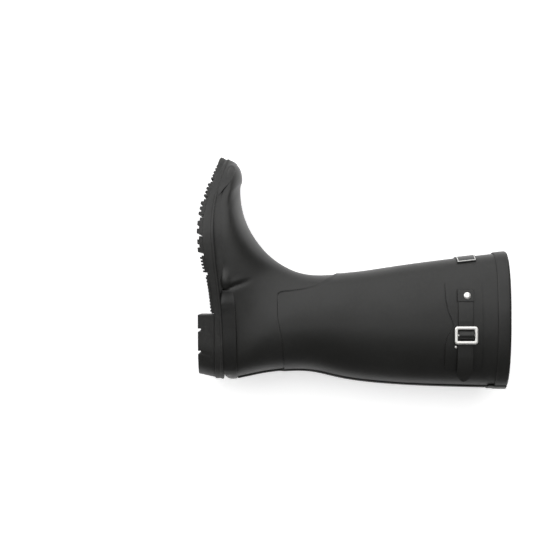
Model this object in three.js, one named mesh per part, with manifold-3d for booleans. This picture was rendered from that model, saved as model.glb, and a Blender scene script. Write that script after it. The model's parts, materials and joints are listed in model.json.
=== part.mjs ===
// Rubber rain boot, left foot. Millimetres, +Z up, toe towards -X, outer (lateral) side towards -Y.
// The upper is laid up in layers on one last: every layer is an offset of the same surface.
import * as THREE from 'three';
import { mergeVertices } from 'three/addons/utils/BufferGeometryUtils.js';
import Module from 'manifold-3d';

const wasm = await Module();
wasm.setup();

// ---- Driving dimensions -------------------------------------------------------------------------
const FOOT_LENGTH = 272.5;        // heel back to toe end, measured on the last
const BALL_WIDTH = 98;            // last, across the ball of the foot
const BOOT_HEIGHT = 385;          // floor to the top of the rim
const RIM_DEPTH = 167;            // last, front to back at the rim
const RIM_SETBACK = 8.6;          // rim back stands this far behind the heel back
const LEG_WIDTH = 77;             // last, side to side in the leg
const HEEL_HEIGHT = 20.5;         // heel block and its gap
const HEEL_EDGE = 9;              // outsole edge over the heel
const BALL_SEAT = 18.8;           // floor to the outsole's top under the ball
const LUG_DEPTH = 6.4;
const WELT = 4.6;                 // outsole edge past the last at the ball

const FIT = 0.3;                  // clearance between pieces that lie on each other
const RUBBER = 2.0;               // vamp and leg wall
const LAP = 0.9;                  // thickness of the leg's flap over the vamp
const LAP_LENGTH = 12;            // overlap of the leg on the vamp
const STIFFENER = 0.9;            // toe puff, counter and interlining
const LINING = 0.8;
const OVERLAY = 1.2;              // heel patch, back strip, strap panel and badge
const BINDING = 1.5;              // rim binding wall
const BINDING_DROP = 16.5;        // how far the binding comes down outside
const BOARD = 1.5;                // insole board
const FOOTBED = 4.0;              // footbed foam
const COVER = 1.0;                // footbed cover
const RECESS_DEPTH = 4.5;         // filler bed in the outsole
const RECESS_MARGIN = 15;         // outsole edge to the filler bed
const SHANK_WIDTH = 13;
const SHANK_THICKNESS = 1.5;
const HEEL_LENGTH = 83;           // heel back to heel breast
const HEEL_INSET = 2.2;           // heel block inside the outsole's outline
const NOTCH_WIDTH = 4.2;
const NOTCH_DEPTH = 4.8;
const BADGE_WIDTH = 50;
const BADGE_HEIGHT = 27;
const BADGE_DROP = 48.8;          // rim to the badge's middle
const SPLIT_WIDTH = 4;            // long groove between the two rows of lugs
const STRIP_WIDTH = 22;           // back strip
const STRAP_WIDTH = 18.5;
const STRAP_THICKNESS = 1.5;
const STRAP_DROP = 56.7;          // rim to the strap's centre line
const STRAP_HEIGHT = BOOT_HEIGHT - STRAP_DROP;
const STRAP_FRONT = 110;          // front end of the strap, from the heel back
const CHAPE_WIDTH = 13;
const CHAPE_THICKNESS = 1.2;
const FRAME_LENGTH = 22.7;        // buckle frame along the strap
const FRAME_BAR = 4.2;            // width of the frame's bars
const FRAME_PLAY = 1.15;          // strap edge to the frame's window
const FRAME_WIDTH = STRAP_WIDTH + 2 * (FRAME_BAR + FRAME_PLAY);
const FRAME_THICKNESS = 2.4;
const FRAME_CENTRE = 58;          // buckle centre, from the heel back
const BAR_RADIUS = 1.2;           // centre bar
const RIVET_RADIUS = 4.3;         // rivet cap
const RIVET_SHANK = 1.8;

// ---- Levels over the last, outwards positive ------------------------------------------------------
const LEG_SKIN = FIT + LAP;                         // outside of the leg
const OVER_LEG = LEG_SKIN + FIT;                    // inside of what lies on the leg
const PANEL_SKIN = OVER_LEG + OVERLAY;              // outside of the strap panel
const CHAPE_LEVEL = PANEL_SKIN + FIT + CHAPE_THICKNESS / 2;
const STRAP_LEVEL = CHAPE_LEVEL + (CHAPE_THICKNESS + STRAP_THICKNESS) / 2 + FIT;
const STRAP_REST = PANEL_SKIN + FIT + STRAP_THICKNESS / 2 + 0.15;
const EYE_RADIUS = BAR_RADIUS + FIT + CHAPE_THICKNESS;
const BAR_LEVEL = STRAP_LEVEL + STRAP_THICKNESS / 2 + 1.6 + FRAME_THICKNESS / 2;
const CREST_LEVEL = BAR_LEVEL + EYE_RADIUS + FIT + STRAP_THICKNESS / 2;
const UNDER_RUBBER = RUBBER + FIT;
const LINING_SKIN = UNDER_RUBBER + STIFFENER + FIT;
const INSIDE = LINING_SKIN + LINING;                // inside of the lining

// ---- Small helpers ----------------------------------------------------------------------------------
const { lerp } = THREE.MathUtils;
const HEEL_SEAT = HEEL_HEIGHT + HEEL_EDGE;
const FAR = 600;
const LENGTH_RATIO = FOOT_LENGTH / 272.5;           // foot outlines are drawn for a last this long

// Side-view outlines: forward distances grow with the foot, heights count from the heel seat or the strap.
function onFoot(points) {
  return points.map(([f, rise]) => [f * LENGTH_RATIO, HEEL_SEAT + rise]);
}

function onStrap(points) {
  return points.map(([f, rise]) => [f, STRAP_HEIGHT + rise]);
}

function smooth(points) {
  const knots = points.map(([f, z]) => new THREE.Vector3(f, z, 0));
  return new THREE.CatmullRomCurve3(knots, false, 'centripetal');
}

function smoothPoints(points, steps) {
  return smooth(points).getPoints(steps).map((p) => [p.x, p.y]);
}

// ---- The last ---------------------------------------------------------------------------------------
// Height of the outsole's top along the foot; f is the distance forward of the heel back.
const seatLine = smooth([
  [-40, HEEL_SEAT], [0, HEEL_SEAT], [50 * LENGTH_RATIO, HEEL_SEAT],
  [82 * LENGTH_RATIO, lerp(BALL_SEAT, HEEL_SEAT, 0.87)],
  [118 * LENGTH_RATIO, lerp(BALL_SEAT, HEEL_SEAT, 0.56)],
  [152 * LENGTH_RATIO, lerp(BALL_SEAT, HEEL_SEAT, 0.2)],
  [186 * LENGTH_RATIO, BALL_SEAT], [214 * LENGTH_RATIO, BALL_SEAT + 1.4],
  [236 * LENGTH_RATIO, BALL_SEAT + 5.2], [254 * LENGTH_RATIO, BALL_SEAT + 9.8],
  [266 * LENGTH_RATIO, BALL_SEAT + 13.4], [276 * LENGTH_RATIO, BALL_SEAT + 17],
  [300 * LENGTH_RATIO, BALL_SEAT + 26],
]).getPoints(120);

function seat(f) {
  const i = seatLine.findIndex((p) => p.x > f);
  const [p, q] = [seatLine[i - 1], seatLine[i]];
  return lerp(p.y, q.y, (f - p.x) / (q.x - p.x));
}

// Foot stations, toe to ankle: top point (share of the length, height over the heel seat), bottom or
// back point (share of the length, height over the seat there), centre line towards the inner side,
// half width over half the ball width, height share of the widest point, roundness above and below.
const FOOT_STATIONS = [
  [1.000, 11.5, 1.000, 4.7, 12.0, 0.00, 0.50, 2.0, 2.0],
  [0.993, 16.0, 0.993, 1.0, 12.0, 0.23, 0.48, 2.0, 2.1],
  [0.973, 20.5, 0.973, 0.0, 11.3, 0.43, 0.45, 2.0, 2.3],
  [0.930, 23.3, 0.930, 0.0, 10.0, 0.63, 0.42, 2.1, 2.6],
  [0.864, 21.5, 0.864, 0.0, 8.3, 0.81, 0.38, 2.1, 3.0],
  [0.784, 24.0, 0.776, 0.0, 4.3, 0.94, 0.33, 2.1, 3.4],
  [0.708, 31.0, 0.673, 0.0, 1.0, 1.00, 0.28, 2.05, 3.6],
  [0.642, 41.5, 0.556, 0.0, -1.5, 0.93, 0.27, 2.05, 3.6],
  [0.585, 54.0, 0.431, 0.0, -2.8, 0.84, 0.28, 2.05, 3.4],
  [0.543, 67.5, 0.299, 0.0, -2.0, 0.78, 0.33, 2.1, 3.2],
  [0.514, 80.5, 0.167, 0.0, -0.5, 0.765, 0.40, 2.3, 3.0],
  [0.495, 92.5, 0.060, 0.0, 0.0, 0.775, 0.45, 2.4, 2.6],
  [0.484, 105.0, 0.007, 7.5, 0.0, 0.785, 0.48, 2.4, 2.3],
];
// Leg stations, ankle to rim: front and back height share, front and back flare share.
const LEG_STATIONS = [
  [0.000, 0.000, 0.00, 0.00],
  [0.065, 0.075, 0.01, 0.10],
  [0.145, 0.165, 0.07, 0.08],
  [0.248, 0.263, 0.16, 0.06],
  [0.375, 0.385, 0.32, 0.42],
  [0.535, 0.540, 0.52, 0.74],
  [0.735, 0.735, 0.74, 0.93],
  [1.000, 1.000, 1.00, 1.00],
];
const ANKLE_FRONT = 0.48 * FOOT_LENGTH;             // front of the leg at the ankle, from the heel back
const ANKLE_FRONT_RISE = 118;     // height of the front's first leg station over the heel seat
const HEEL_CURVE = [4.2, 9.3, 12.6, 12.0, 2.6, -3.2, -6.6, -RIM_SETBACK];
const HEEL_CURVE_RISE = 27;       // height of the back's first leg station over the heel seat

function footStation([topF, rise, lowF, lift, centre, half, low, above, below]) {
  const f = lowF * FOOT_LENGTH;
  return {
    top: [topF * FOOT_LENGTH, HEEL_SEAT + rise], back: [f, seat(f) + lift],
    centre, half: half * BALL_WIDTH / 2, low, above, below,
  };
}

function legStation([frontUp, backUp, flare], i) {
  const front = lerp(ANKLE_FRONT, RIM_DEPTH - RIM_SETBACK, flare);
  return {
    top: [front, lerp(HEEL_SEAT + ANKLE_FRONT_RISE, BOOT_HEIGHT, frontUp)],
    back: [HEEL_CURVE[i], lerp(HEEL_SEAT + HEEL_CURVE_RISE, BOOT_HEIGHT, backUp)],
    centre: 0, half: LEG_WIDTH / 2, low: 0.5, above: 2.4, below: 2.25,
  };
}

const stations = [...FOOT_STATIONS.map(footStation), ...LEG_STATIONS.map(legStation)];
stations[0].back = stations[0].top;

// Catmull-Rom value of one station number at row t.
function blend(t, read) {
  const last = stations.length - 1;
  const i = Math.min(Math.floor(t), last - 1);
  const u = t - i;
  const [p, q, r, s] = [i - 1, i, i + 1, i + 2].map((k) => read(stations[Math.min(Math.max(k, 0), last)]));
  const a = (r - p) / 2;
  const b = (s - q) / 2;
  return q + u * (a + u * (3 * (r - q) - 2 * a - b + u * (2 * (q - r) + a + b)));
}

function lastPoint(t, turn) {
  const c = Math.cos(turn);
  const s = Math.sin(turn);
  const power = 2 / blend(t, (k) => (c >= 0 ? k.above : k.below));
  const low = blend(t, (k) => k.low);
  const up = low + Math.sign(c) * Math.abs(c) ** power * (c >= 0 ? 1 - low : low);
  const out = Math.sign(s) * Math.abs(s) ** power;
  const at = (i) => lerp(blend(t, (k) => k.back[i]), blend(t, (k) => k.top[i]), up);
  const y = blend(t, (k) => k.centre) - out * Math.max(blend(t, (k) => k.half), 0);
  return new THREE.Vector3(-at(0), y, at(1));
}

const AROUND = 24;                // sides of a ring
const rows = [0, 1, 2];
for (let t = 2.5; t <= stations.length - 1; t += t < 17 ? 0.5 : 1) {
  rows.push(t);
}

// Rings of surface points with their normals; the first ring is the toe's single end point.
function ringGrid(around) {
  const turns = Array.from({ length: around }, (_, j) => 2 * Math.PI * j / around);
  const grid = rows.map((t) => turns.map((turn) => lastPoint(t, turn)));
  const top = grid.length - 1;
  const normals = grid.map((ring, i) => ring.map((_, j) => {
    const along = grid[Math.min(i + 1, top)][j].clone().sub(grid[Math.max(i - 1, 0)][j]);
    const across = ring[(j + 1) % around].clone().sub(ring[(j + around - 1) % around]);
    const normal = across.cross(along);
    if (i === 0) {
      normal.set(-1, 0, 0);
    }
    if (i === top) {
      normal.z = 0;
    }
    return normal.normalize();
  }));
  return { grid, normals, around, top };
}

const fine = ringGrid(AROUND);
const coarse = ringGrid(AROUND / 2);

// ---- Solids -------------------------------------------------------------------------------------------
function toSolid(geometry) {
  const bare = new THREE.BufferGeometry();
  bare.setAttribute('position', geometry.getAttribute('position').clone());
  bare.setIndex(geometry.getIndex());
  const merged = mergeVertices(bare, 1e-4);
  return new wasm.Manifold(new wasm.Mesh({
    numProp: 3,
    vertProperties: new Float32Array(merged.getAttribute('position').array),
    triVerts: new Uint32Array(merged.getIndex().array),
  }));
}

function toGeometry(solid) {
  const mesh = solid.getMesh();
  const geometry = new THREE.BufferGeometry();
  geometry.setAttribute('position', new THREE.BufferAttribute(mesh.vertProperties, 3));
  geometry.setIndex(new THREE.BufferAttribute(mesh.triVerts, 1));
  geometry.computeVertexNormals();
  return geometry;
}

// The last grown by `level` (or shrunk, when negative), closed flat at the rim.
function core(level, rings = fine) {
  const { grid, normals, around, top } = rings;
  const points = [grid[0][0].clone().addScaledVector(normals[0][0], level)];
  for (let i = 1; i <= top; i += 1) {
    grid[i].forEach((p, j) => points.push(p.clone().addScaledVector(normals[i][j], level)));
  }
  const middle = grid[top][0].clone().lerp(grid[top][around / 2], 0.5);
  points.push(middle);
  const at = (i, j) => (i === 0 ? 0 : 1 + (i - 1) * around + (j % around));
  const index = [];
  for (let j = 0; j < around; j += 1) {
    index.push(0, at(1, j + 1), at(1, j));
    for (let i = 1; i < top; i += 1) {
      index.push(at(i, j), at(i, j + 1), at(i + 1, j + 1), at(i, j), at(i + 1, j + 1), at(i + 1, j));
    }
    index.push(at(top, j), at(top, j + 1), points.length - 1);
  }
  const geometry = new THREE.BufferGeometry().setFromPoints(points);
  geometry.setIndex(index);
  return toSolid(geometry);
}

// A wall of the upper between two levels.
function layer(outer, inner, rings = fine) {
  return core(outer, rings).subtract(core(inner, rings));
}

// Outline in the side view, (forward, height) points, as a solid between two y planes.
function sideSolid(outline, y0 = -FAR, y1 = FAR) {
  const shape = new THREE.Shape(outline.map(([f, z]) => new THREE.Vector2(-f, z)));
  const geometry = new THREE.ExtrudeGeometry(shape, { depth: y1 - y0, bevelEnabled: false });
  geometry.rotateX(Math.PI / 2);
  geometry.translate(0, y1, 0);
  return toSolid(geometry);
}

// Outline in the plan view, (forward, y) points, as a solid between two heights.
function planSolid(outline, z0 = -FAR, z1 = FAR) {
  const shape = new THREE.Shape(outline.map(([f, y]) => new THREE.Vector2(-f, y)));
  const geometry = new THREE.ExtrudeGeometry(shape, { depth: z1 - z0, bevelEnabled: false });
  geometry.translate(0, 0, z0);
  return toSolid(geometry);
}

function boxSolid(f0, f1, y0, y1, z0, z1) {
  const geometry = new THREE.BoxGeometry(f1 - f0, y1 - y0, z1 - z0);
  geometry.translate(-(f0 + f1) / 2, (y0 + y1) / 2, (z0 + z1) / 2);
  return toSolid(geometry);
}

function above(z) {
  return boxSolid(-FAR, FAR, -FAR, FAR, z, z + FAR);
}

function below(z) {
  return boxSolid(-FAR, FAR, -FAR, FAR, z - FAR, z);
}

function ahead(f) {
  return boxSolid(f, FAR, -FAR, FAR, -FAR, FAR);
}

function behind(f) {
  return boxSolid(-FAR, f, -FAR, FAR, -FAR, FAR);
}

// A band between two heights over the seat line, from f0 to f1.
function seatBand(f0, f1, low, high) {
  const steps = Math.ceil((f1 - f0) / 12);
  const along = Array.from({ length: steps + 1 }, (_, i) => lerp(f0, f1, i / steps));
  const under = along.map((f) => [f, seat(f) + low]);
  const over = along.map((f) => [f, seat(f) + high]).reverse();
  return sideSolid([...under, ...over]);
}

function pin(place, radius, length, sides = 16) {
  const geometry = new THREE.CylinderGeometry(radius, radius, length, sides);
  geometry.rotateX(Math.PI / 2);
  geometry.translate(place.x, place.y, place.z);
  return toSolid(geometry);
}

// Point at a level over the last, on the outer side of the leg at the strap's height.
function onLeg(f, level, height = STRAP_HEIGHT) {
  const half = AROUND / 2;
  const atHeight = (j) => {
    const column = fine.grid.map((ring) => ring[j]);
    const i = column.findIndex((p, k) => k > fine.top / 2 && p.z > height);
    const u = (height - column[i - 1].z) / (column[i].z - column[i - 1].z);
    const point = column[i - 1].clone().lerp(column[i], u);
    const normal = fine.normals[i - 1][j].clone().lerp(fine.normals[i][j], u).setZ(0).normalize();
    return { point, normal };
  };
  const contour = Array.from({ length: half + 1 }, (_, j) => atHeight(j));
  const j = Math.max(1, Math.min(half, contour.findIndex(({ point }) => -point.x < f)));
  const [p, q] = [contour[j - 1], contour[j]];
  const share = (-p.point.x - f) / (q.point.x - p.point.x);
  const point = p.point.clone().lerp(q.point, share);
  const normal = p.normal.clone().lerp(q.normal, share).normalize();
  return { place: point.addScaledVector(normal, level).setZ(height), normal };
}

// A turned piece standing square on the leg: (radius, level) points of half its section.
function turned(f, height, profile, sides = 16) {
  const { place, normal } = onLeg(f, 0, height);
  const half = profile.map(([radius, level]) => new THREE.Vector2(radius, level));
  const geometry = new THREE.LatheGeometry(half, sides);
  const square = new THREE.Quaternion().setFromUnitVectors(new THREE.Vector3(0, 1, 0), normal);
  geometry.applyQuaternion(square);
  geometry.translate(place.x, place.y, place.z);
  return toSolid(geometry);
}

// A strip of even thickness that stands upright, along (forward, level) points over the leg.
function ribbon(path, thickness, z0, z1, roundStart = false) {
  const knots = path.map(([f, level]) => onLeg(f, level).place.setZ(0));
  const line = new THREE.CatmullRomCurve3(knots, false, 'centripetal').getPoints(3 * (path.length - 1));
  const sides = line.map((p, i) => {
    const along = line[Math.min(i + 1, line.length - 1)].clone().sub(line[Math.max(i - 1, 0)]);
    return new THREE.Vector3(-along.y, along.x, 0).normalize().multiplyScalar(thickness / 2);
  });
  const left = line.map((p, i) => p.clone().add(sides[i]));
  const right = line.map((p, i) => p.clone().sub(sides[i])).reverse();
  const outline = [...left, ...right].map((p) => [-p.x, p.y]);
  const strip = planSolid(outline, z0, z1);
  if (!roundStart) {
    return strip;
  }
  return strip.add(pin(line[0].clone().setZ((z0 + z1) / 2), thickness / 2, z1 - z0, 12));
}

// ---- Outlines -------------------------------------------------------------------------------------------
const EDGE_POINTS = [
  [1.000, 0.12], [0.980, -0.06], [0.945, -0.24], [0.890, -0.47], [0.820, -0.69], [0.740, -0.86],
  [0.655, -0.96], [0.570, -0.95], [0.450, -0.86], [0.330, -0.76], [0.215, -0.70], [0.125, -0.655],
  [0.050, -0.51], [0.011, -0.26], [0.004, 0.00], [0.011, 0.26], [0.050, 0.51], [0.125, 0.65],
  [0.215, 0.67], [0.325, 0.67], [0.435, 0.73], [0.525, 0.85], [0.615, 0.97], [0.720, 1.02],
  [0.808, 1.01], [0.880, 0.93], [0.934, 0.77], [0.974, 0.50],
];

// The outsole's outline in plan, moved in by `inset`.
function soleOutline(inset, sides = 56) {
  const half = BALL_WIDTH / 2 + WELT;
  const knots = EDGE_POINTS.map(([f, y]) => new THREE.Vector3(f * (FOOT_LENGTH + WELT), y * half, 0));
  const line = new THREE.CatmullRomCurve3(knots, true, 'centripetal').getPoints(sides).slice(0, -1);
  return line.map((p, i) => {
    const next = line[(i + 1) % sides];
    const prior = line[(i + sides - 1) % sides];
    const along = next.clone().sub(prior).normalize();
    return [p.x + along.y * inset, p.y - along.x * inset];
  });
}

// Underside of the outsole without its lugs.
const TREAD_LINE = [
  [HEEL_LENGTH, HEEL_HEIGHT - 1.2], ...[[112, 16.5], [131, 13], [150, 9], [170, 6.8], [190, 6.5], [205, 8],
    [222, 11], [237, 15.2], [252, 19.5], [264, 23.6], [290, 35]].map(([f, z]) => [f * LENGTH_RATIO, z]),
];

function treadLine(f) {
  const line = smoothPoints(TREAD_LINE, 60);
  const i = line.findIndex(([x]) => x > f);
  const [p, q] = [line[i - 1], line[i]];
  return lerp(p[1], q[1], (f - p[0]) / (q[0] - p[0]));
}

// Lug rows, toe to waist: back and front edge and how far the lowest corner is under the tread line.
const LUG_ROWS = [
  { back: 250, front: 272, drop: 3.6 },
  { back: 227.5, front: 246.5, drop: 5.2 },
  { back: 204.5, front: 224, drop: LUG_DEPTH },
  { back: 181.5, front: 201, drop: LUG_DEPTH },
  { back: 158.5, front: 178, drop: LUG_DEPTH },
].map(({ back, front, drop }) => ({ back: back * LENGTH_RATIO, front: front * LENGTH_RATIO, drop }));

// Edge of the leg's flap over the vamp, front to back, in the side view.
const FLAP_EDGE = onFoot([
  [150, 170.5], [141, 157.5], [134, 147], [127.5, 135.5], [120.5, 124.5], [114.5, 107.5], [111.5, 90.5],
  [109.8, 74.5], [107.5, 70], [92, 69.1], [78, 69.3], [52, 74.5], [20, 77], [-40, 77.5],
]);

function flapRegion(raise) {
  const edge = FLAP_EDGE.map(([f, z]) => [f - raise * 0.45, z + raise]);
  return sideSolid([...edge, [-FAR, edge[edge.length - 1][1]], [-FAR, FAR], [FAR, FAR], [FAR, edge[0][1] + 30]]);
}

// ---- Pieces -----------------------------------------------------------------------------------------------
const RIM_CUT = BOOT_HEIGHT - BINDING - FIT;
const belowRim = below(RIM_CUT);
const SEAT_STEP = 7.6 * LENGTH_RATIO;
const overSeat = Array.from({ length: 38 }, (_, i) => [i * SEAT_STEP, seat(i * SEAT_STEP) + FIT]);
const onSole = sideSolid([[-40, HEEL_SEAT + FIT], ...overSeat, [FAR, 60], [FAR, FAR], [-40, FAR]]);

const RIVET_PLACE = [STRAP_FRONT - 5.3, STRAP_HEIGHT + 1.5];
const rivetHole = turned(...RIVET_PLACE, [[0, -3.5], [RIVET_SHANK + FIT, -3.5], [RIVET_SHANK + FIT, 20], [0, 20]], 12);

const BED_BACK = 24 * LENGTH_RATIO;
const BED_FRONT = 214 * LENGTH_RATIO;

function outsole() {
  const edge = planSolid(soleOutline(0));
  const toeEnd = 285 * LENGTH_RATIO;
  const top = Array.from({ length: 38 }, (_, i) => lerp(-20, toeEnd, i / 37)).map((f) => [f, seat(f) - FIT]);
  const under = smoothPoints(TREAD_LINE, 36);
  const profile = [[-20, HEEL_HEIGHT], [HEEL_LENGTH, HEEL_HEIGHT], ...under, ...top.reverse()];
  const body = edge.intersect(sideSolid(profile));
  const inner = planSolid(soleOutline(1.2));
  const lugs = LUG_ROWS.map(({ back, front, drop }) => lugRow(back, front, drop).intersect(inner));
  const bed = planSolid(soleOutline(RECESS_MARGIN, 32)).intersect(seatBand(BED_BACK, BED_FRONT, -RECESS_DEPTH, 20));
  return lugs.reduce((whole, row) => whole.add(row), body).subtract(bed);
}

const SPLIT_FROM = 2;             // the long groove lies a little to the inner side

// One row of lugs: a bar with two cross grooves, split in the middle by a long groove.
function lugRow(back, front, drop) {
  const low = [back, lerp(back, front, 0.5), front].map((f) => [f, treadLine(f) - drop]);
  const bar = sideSolid([...low, [front - 0.8, treadLine(front) + 2], [back + 0.8, treadLine(back) + 2]]);
  const grooves = [0.34, 0.67].map((share) => {
    const f = lerp(back, front, share);
    const z = treadLine(f) - drop;
    return sideSolid([[f - 1.4, z - 1], [f + 1.4, z - 1], [f + 0.6, z + 2], [f - 0.6, z + 2]]);
  });
  const split = boxSolid(back - 5, front + 5, SPLIT_FROM, SPLIT_FROM + SPLIT_WIDTH, treadLine(back) - 20,
    treadLine(back) - 1.5);
  return grooves.reduce((rest, groove) => rest.subtract(groove), bar).subtract(split);
}

function fillerBody() {
  return planSolid(soleOutline(RECESS_MARGIN + FIT, 32))
    .intersect(seatBand(BED_BACK + FIT, BED_FRONT - FIT, FIT - RECESS_DEPTH, -2 * FIT));
}

const SHANK_FROM = 48 * LENGTH_RATIO;
const SHANK_TO = 168 * LENGTH_RATIO;

function shankSlot(room) {
  return seatBand(SHANK_FROM - room, SHANK_TO + room, -FIT - SHANK_THICKNESS - room - 0.001, 5)
    .intersect(planSolid([[0, -SHANK_WIDTH / 2 - room - 1], [FAR, -SHANK_WIDTH / 2 - room - 1],
      [FAR, SHANK_WIDTH / 2 + room - 1], [0, SHANK_WIDTH / 2 + room - 1]]));
}

function shank() {
  return shankSlot(0).intersect(seatBand(0, 250, -20, -FIT));
}

function heelOutline(inset) {
  return planSolid(soleOutline(inset)).intersect(behind(HEEL_LENGTH));
}

function heelBlock() {
  const top = HEEL_HEIGHT - FIT;
  const notch = (f) => [
    [f + NOTCH_WIDTH / 2, 0], [f + NOTCH_WIDTH / 2, NOTCH_DEPTH - 1.4], [f + NOTCH_WIDTH / 2 + 1.2, NOTCH_DEPTH],
    [f - NOTCH_WIDTH / 2 - 0.4, NOTCH_DEPTH], [f - NOTCH_WIDTH / 2, NOTCH_DEPTH - 1.4], [f - NOTCH_WIDTH / 2, 0],
  ];
  const profile = sideSolid([
    [6.5, 0], [2, top], [HEEL_LENGTH + 1, top], [HEEL_LENGTH - 0.5, 0], ...notch(63), ...notch(35.5),
  ]);
  return heelOutline(HEEL_INSET).intersect(profile).subtract(heelPocket(0));
}

function heelPocket(room) {
  return boxSolid(22 + room, 62 - room, -19 + room, 19 - room, NOTCH_DEPTH + 3 + room, HEEL_HEIGHT - (room ? FIT : -2));
}

function insideBand(level, f0, f1, low, high) {
  return core(-level, coarse).intersect(seatBand(f0, f1, low, high));
}

function vamp() {
  return layer(0, -RUBBER).subtract(flapRegion(LAP_LENGTH)).subtract(rivetHole);
}

function leg() {
  const flap = layer(LEG_SKIN, FIT).intersect(flapRegion(0));
  const wall = layer(FIT + 0.2, -RUBBER).intersect(flapRegion(LAP_LENGTH + FIT));
  return flap.add(wall).intersect(belowRim).subtract(rivetHole);
}

const TOE_PUFF_BACK = 222 * LENGTH_RATIO;
const COUNTER_FRONT = 62 * LENGTH_RATIO;
const COUNTER_TOP = HEEL_SEAT + 66.5;
const FOOT_TOP = HEEL_SEAT + 88.5;                  // height where the foot's layers end and the leg's begin
const footSide = below(FOOT_TOP - FIT / 2);
const legSide = above(FOOT_TOP + FIT / 2);

function stiffener() {
  return layer(-UNDER_RUBBER, -UNDER_RUBBER - STIFFENER, coarse);
}

// Top edges in the side view: the toe cap's heights count from the ball's seat, the patch's from the heel's.
const CAP_EDGE = [[276, 30.2], [269, 28.2], [261, 26.2], [250, 22.7], [243, 18.2], [237, 12.7], [229, 7.2], [217, 1.2]]
  .map(([f, rise]) => [f * LENGTH_RATIO, BALL_SEAT + rise]);
const CAP_BACK = CAP_EDGE[CAP_EDGE.length - 1][0];
const PATCH_EDGE = onFoot([[-40, 18.5], [40, 18.1], [80, 17.3], [100, 15.9], [114, 13.5]]);
const PATCH_FRONT = 112 * LENGTH_RATIO;

function toeCapRegion() {
  return sideSolid([[FAR, 60], ...CAP_EDGE, [CAP_BACK, -20], [FAR, -20]]);
}

function heelPatchRegion() {
  return sideSolid([[-40, -20], [PATCH_FRONT, -20], ...[...PATCH_EDGE].reverse()]);
}

function wedge(half, z0, z1, f0, f1) {
  return boxSolid(f0, f1, -half, half, z0, z1);
}

// The strip starts over the heel patch and climbs over the leg's lower edge.
const STRIP_FOOT = HEEL_SEAT + 18.8;
const STRIP_CLIMB = HEEL_SEAT + 75;

function backStrip() {
  const half = STRIP_WIDTH / 2;
  const over = layer(PANEL_SKIN, OVER_LEG)
    .intersect(wedge(half, STRIP_CLIMB, BOOT_HEIGHT - BINDING_DROP - FIT, -60, 60));
  const under = layer(OVER_LEG + 0.2, FIT).intersect(wedge(half, STRIP_FOOT, STRIP_CLIMB + 1.5, -60, 30));
  return over.add(under);
}

const INNER_RISE = 4;             // the binding comes down less inside than outside

function topBinding() {
  const outside = core(OVER_LEG + BINDING).intersect(above(BOOT_HEIGHT - BINDING_DROP));
  const channel = core(OVER_LEG).intersect(below(BOOT_HEIGHT - BINDING));
  const inWall = core(-INSIDE - FIT, coarse).intersect(above(BOOT_HEIGHT - BINDING_DROP + INNER_RISE));
  const mouth = core(-INSIDE - FIT - BINDING / 2, coarse);
  return outside.subtract(channel).add(inWall).subtract(mouth);
}

// Strap panel, side view: a rounded panel with a pointed dip in its lower edge.
const PANEL_OUTLINE = onStrap([
  [123.5, -22.3], [124, -12.3], [123.5, 15.7], [121, 20.2], [100, 21.2], [40, 21.2], [17, 20.2],
  [14.5, 15.7], [14.5, -20.3], [17, -24.1], [30, -24.5], [43, -24.5], [54, -22.3], [64.5, -16.1],
  [69.8, -14.7], [75, -16.1], [86, -20.7], [98.6, -23.5], [112, -24.4], [121, -24.3],
]);

function strapPanel() {
  const region = sideSolid(PANEL_OUTLINE, -FAR, 0);
  return layer(PANEL_SKIN, OVER_LEG).intersect(region).subtract(rivetHole);
}

function badge() {
  const mid = BOOT_HEIGHT - BADGE_DROP;
  const region = wedge(BADGE_WIDTH / 2, mid - BADGE_HEIGHT / 2, mid + BADGE_HEIGHT / 2, 125, FAR);
  return layer(PANEL_SKIN, OVER_LEG).intersect(region);
}

const STRAP_LOW = STRAP_HEIGHT - STRAP_WIDTH / 2;
const STRAP_HIGH = STRAP_HEIGHT + STRAP_WIDTH / 2;
const FRAME_BACK = FRAME_CENTRE - FRAME_LENGTH / 2;
const TAIL_FRONT = FRAME_BACK - 1.1;
const barPlace = onLeg(FRAME_CENTRE, BAR_LEVEL).place;

function strap() {
  const climb = CREST_LEVEL - STRAP_LEVEL;
  const path = [
    [STRAP_FRONT, STRAP_REST], [STRAP_FRONT - 8, STRAP_REST], [90, STRAP_LEVEL - 0.5], [76, STRAP_LEVEL],
    [FRAME_CENTRE + 8, STRAP_LEVEL], [FRAME_CENTRE + 6, STRAP_LEVEL + 0.2 * climb],
    [FRAME_CENTRE + 3.2, STRAP_LEVEL + 0.8 * climb], [FRAME_CENTRE, CREST_LEVEL],
    [FRAME_CENTRE - 3.2, STRAP_LEVEL + 0.8 * climb], [FRAME_CENTRE - 6, STRAP_LEVEL + 0.2 * climb],
    [FRAME_CENTRE - 8, STRAP_LEVEL], [FRAME_BACK + 0.1, STRAP_LEVEL],
  ];
  return ribbon(path, STRAP_THICKNESS, STRAP_LOW, STRAP_HIGH).subtract(rivetHole);
}

function strapTail() {
  const path = [[TAIL_FRONT, STRAP_LEVEL], [38, STRAP_LEVEL + 0.2], [28, STRAP_LEVEL + 0.9],
    [17, STRAP_LEVEL + 1.8], [9, STRAP_LEVEL + 2.4], [3, STRAP_LEVEL + 2.6]];
  const tip = sideSolid([[60, STRAP_LOW - 0.6], [60, STRAP_HIGH], [11, STRAP_HIGH - 1.2], [5.4, STRAP_HIGH - 6],
    [3.4, STRAP_HEIGHT - 1], [5.4, STRAP_LOW + 5], [10, STRAP_LOW - 0.6]]);
  return ribbon(path, STRAP_THICKNESS, STRAP_LOW - 2, STRAP_HIGH + 1, true).intersect(tip);
}

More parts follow.
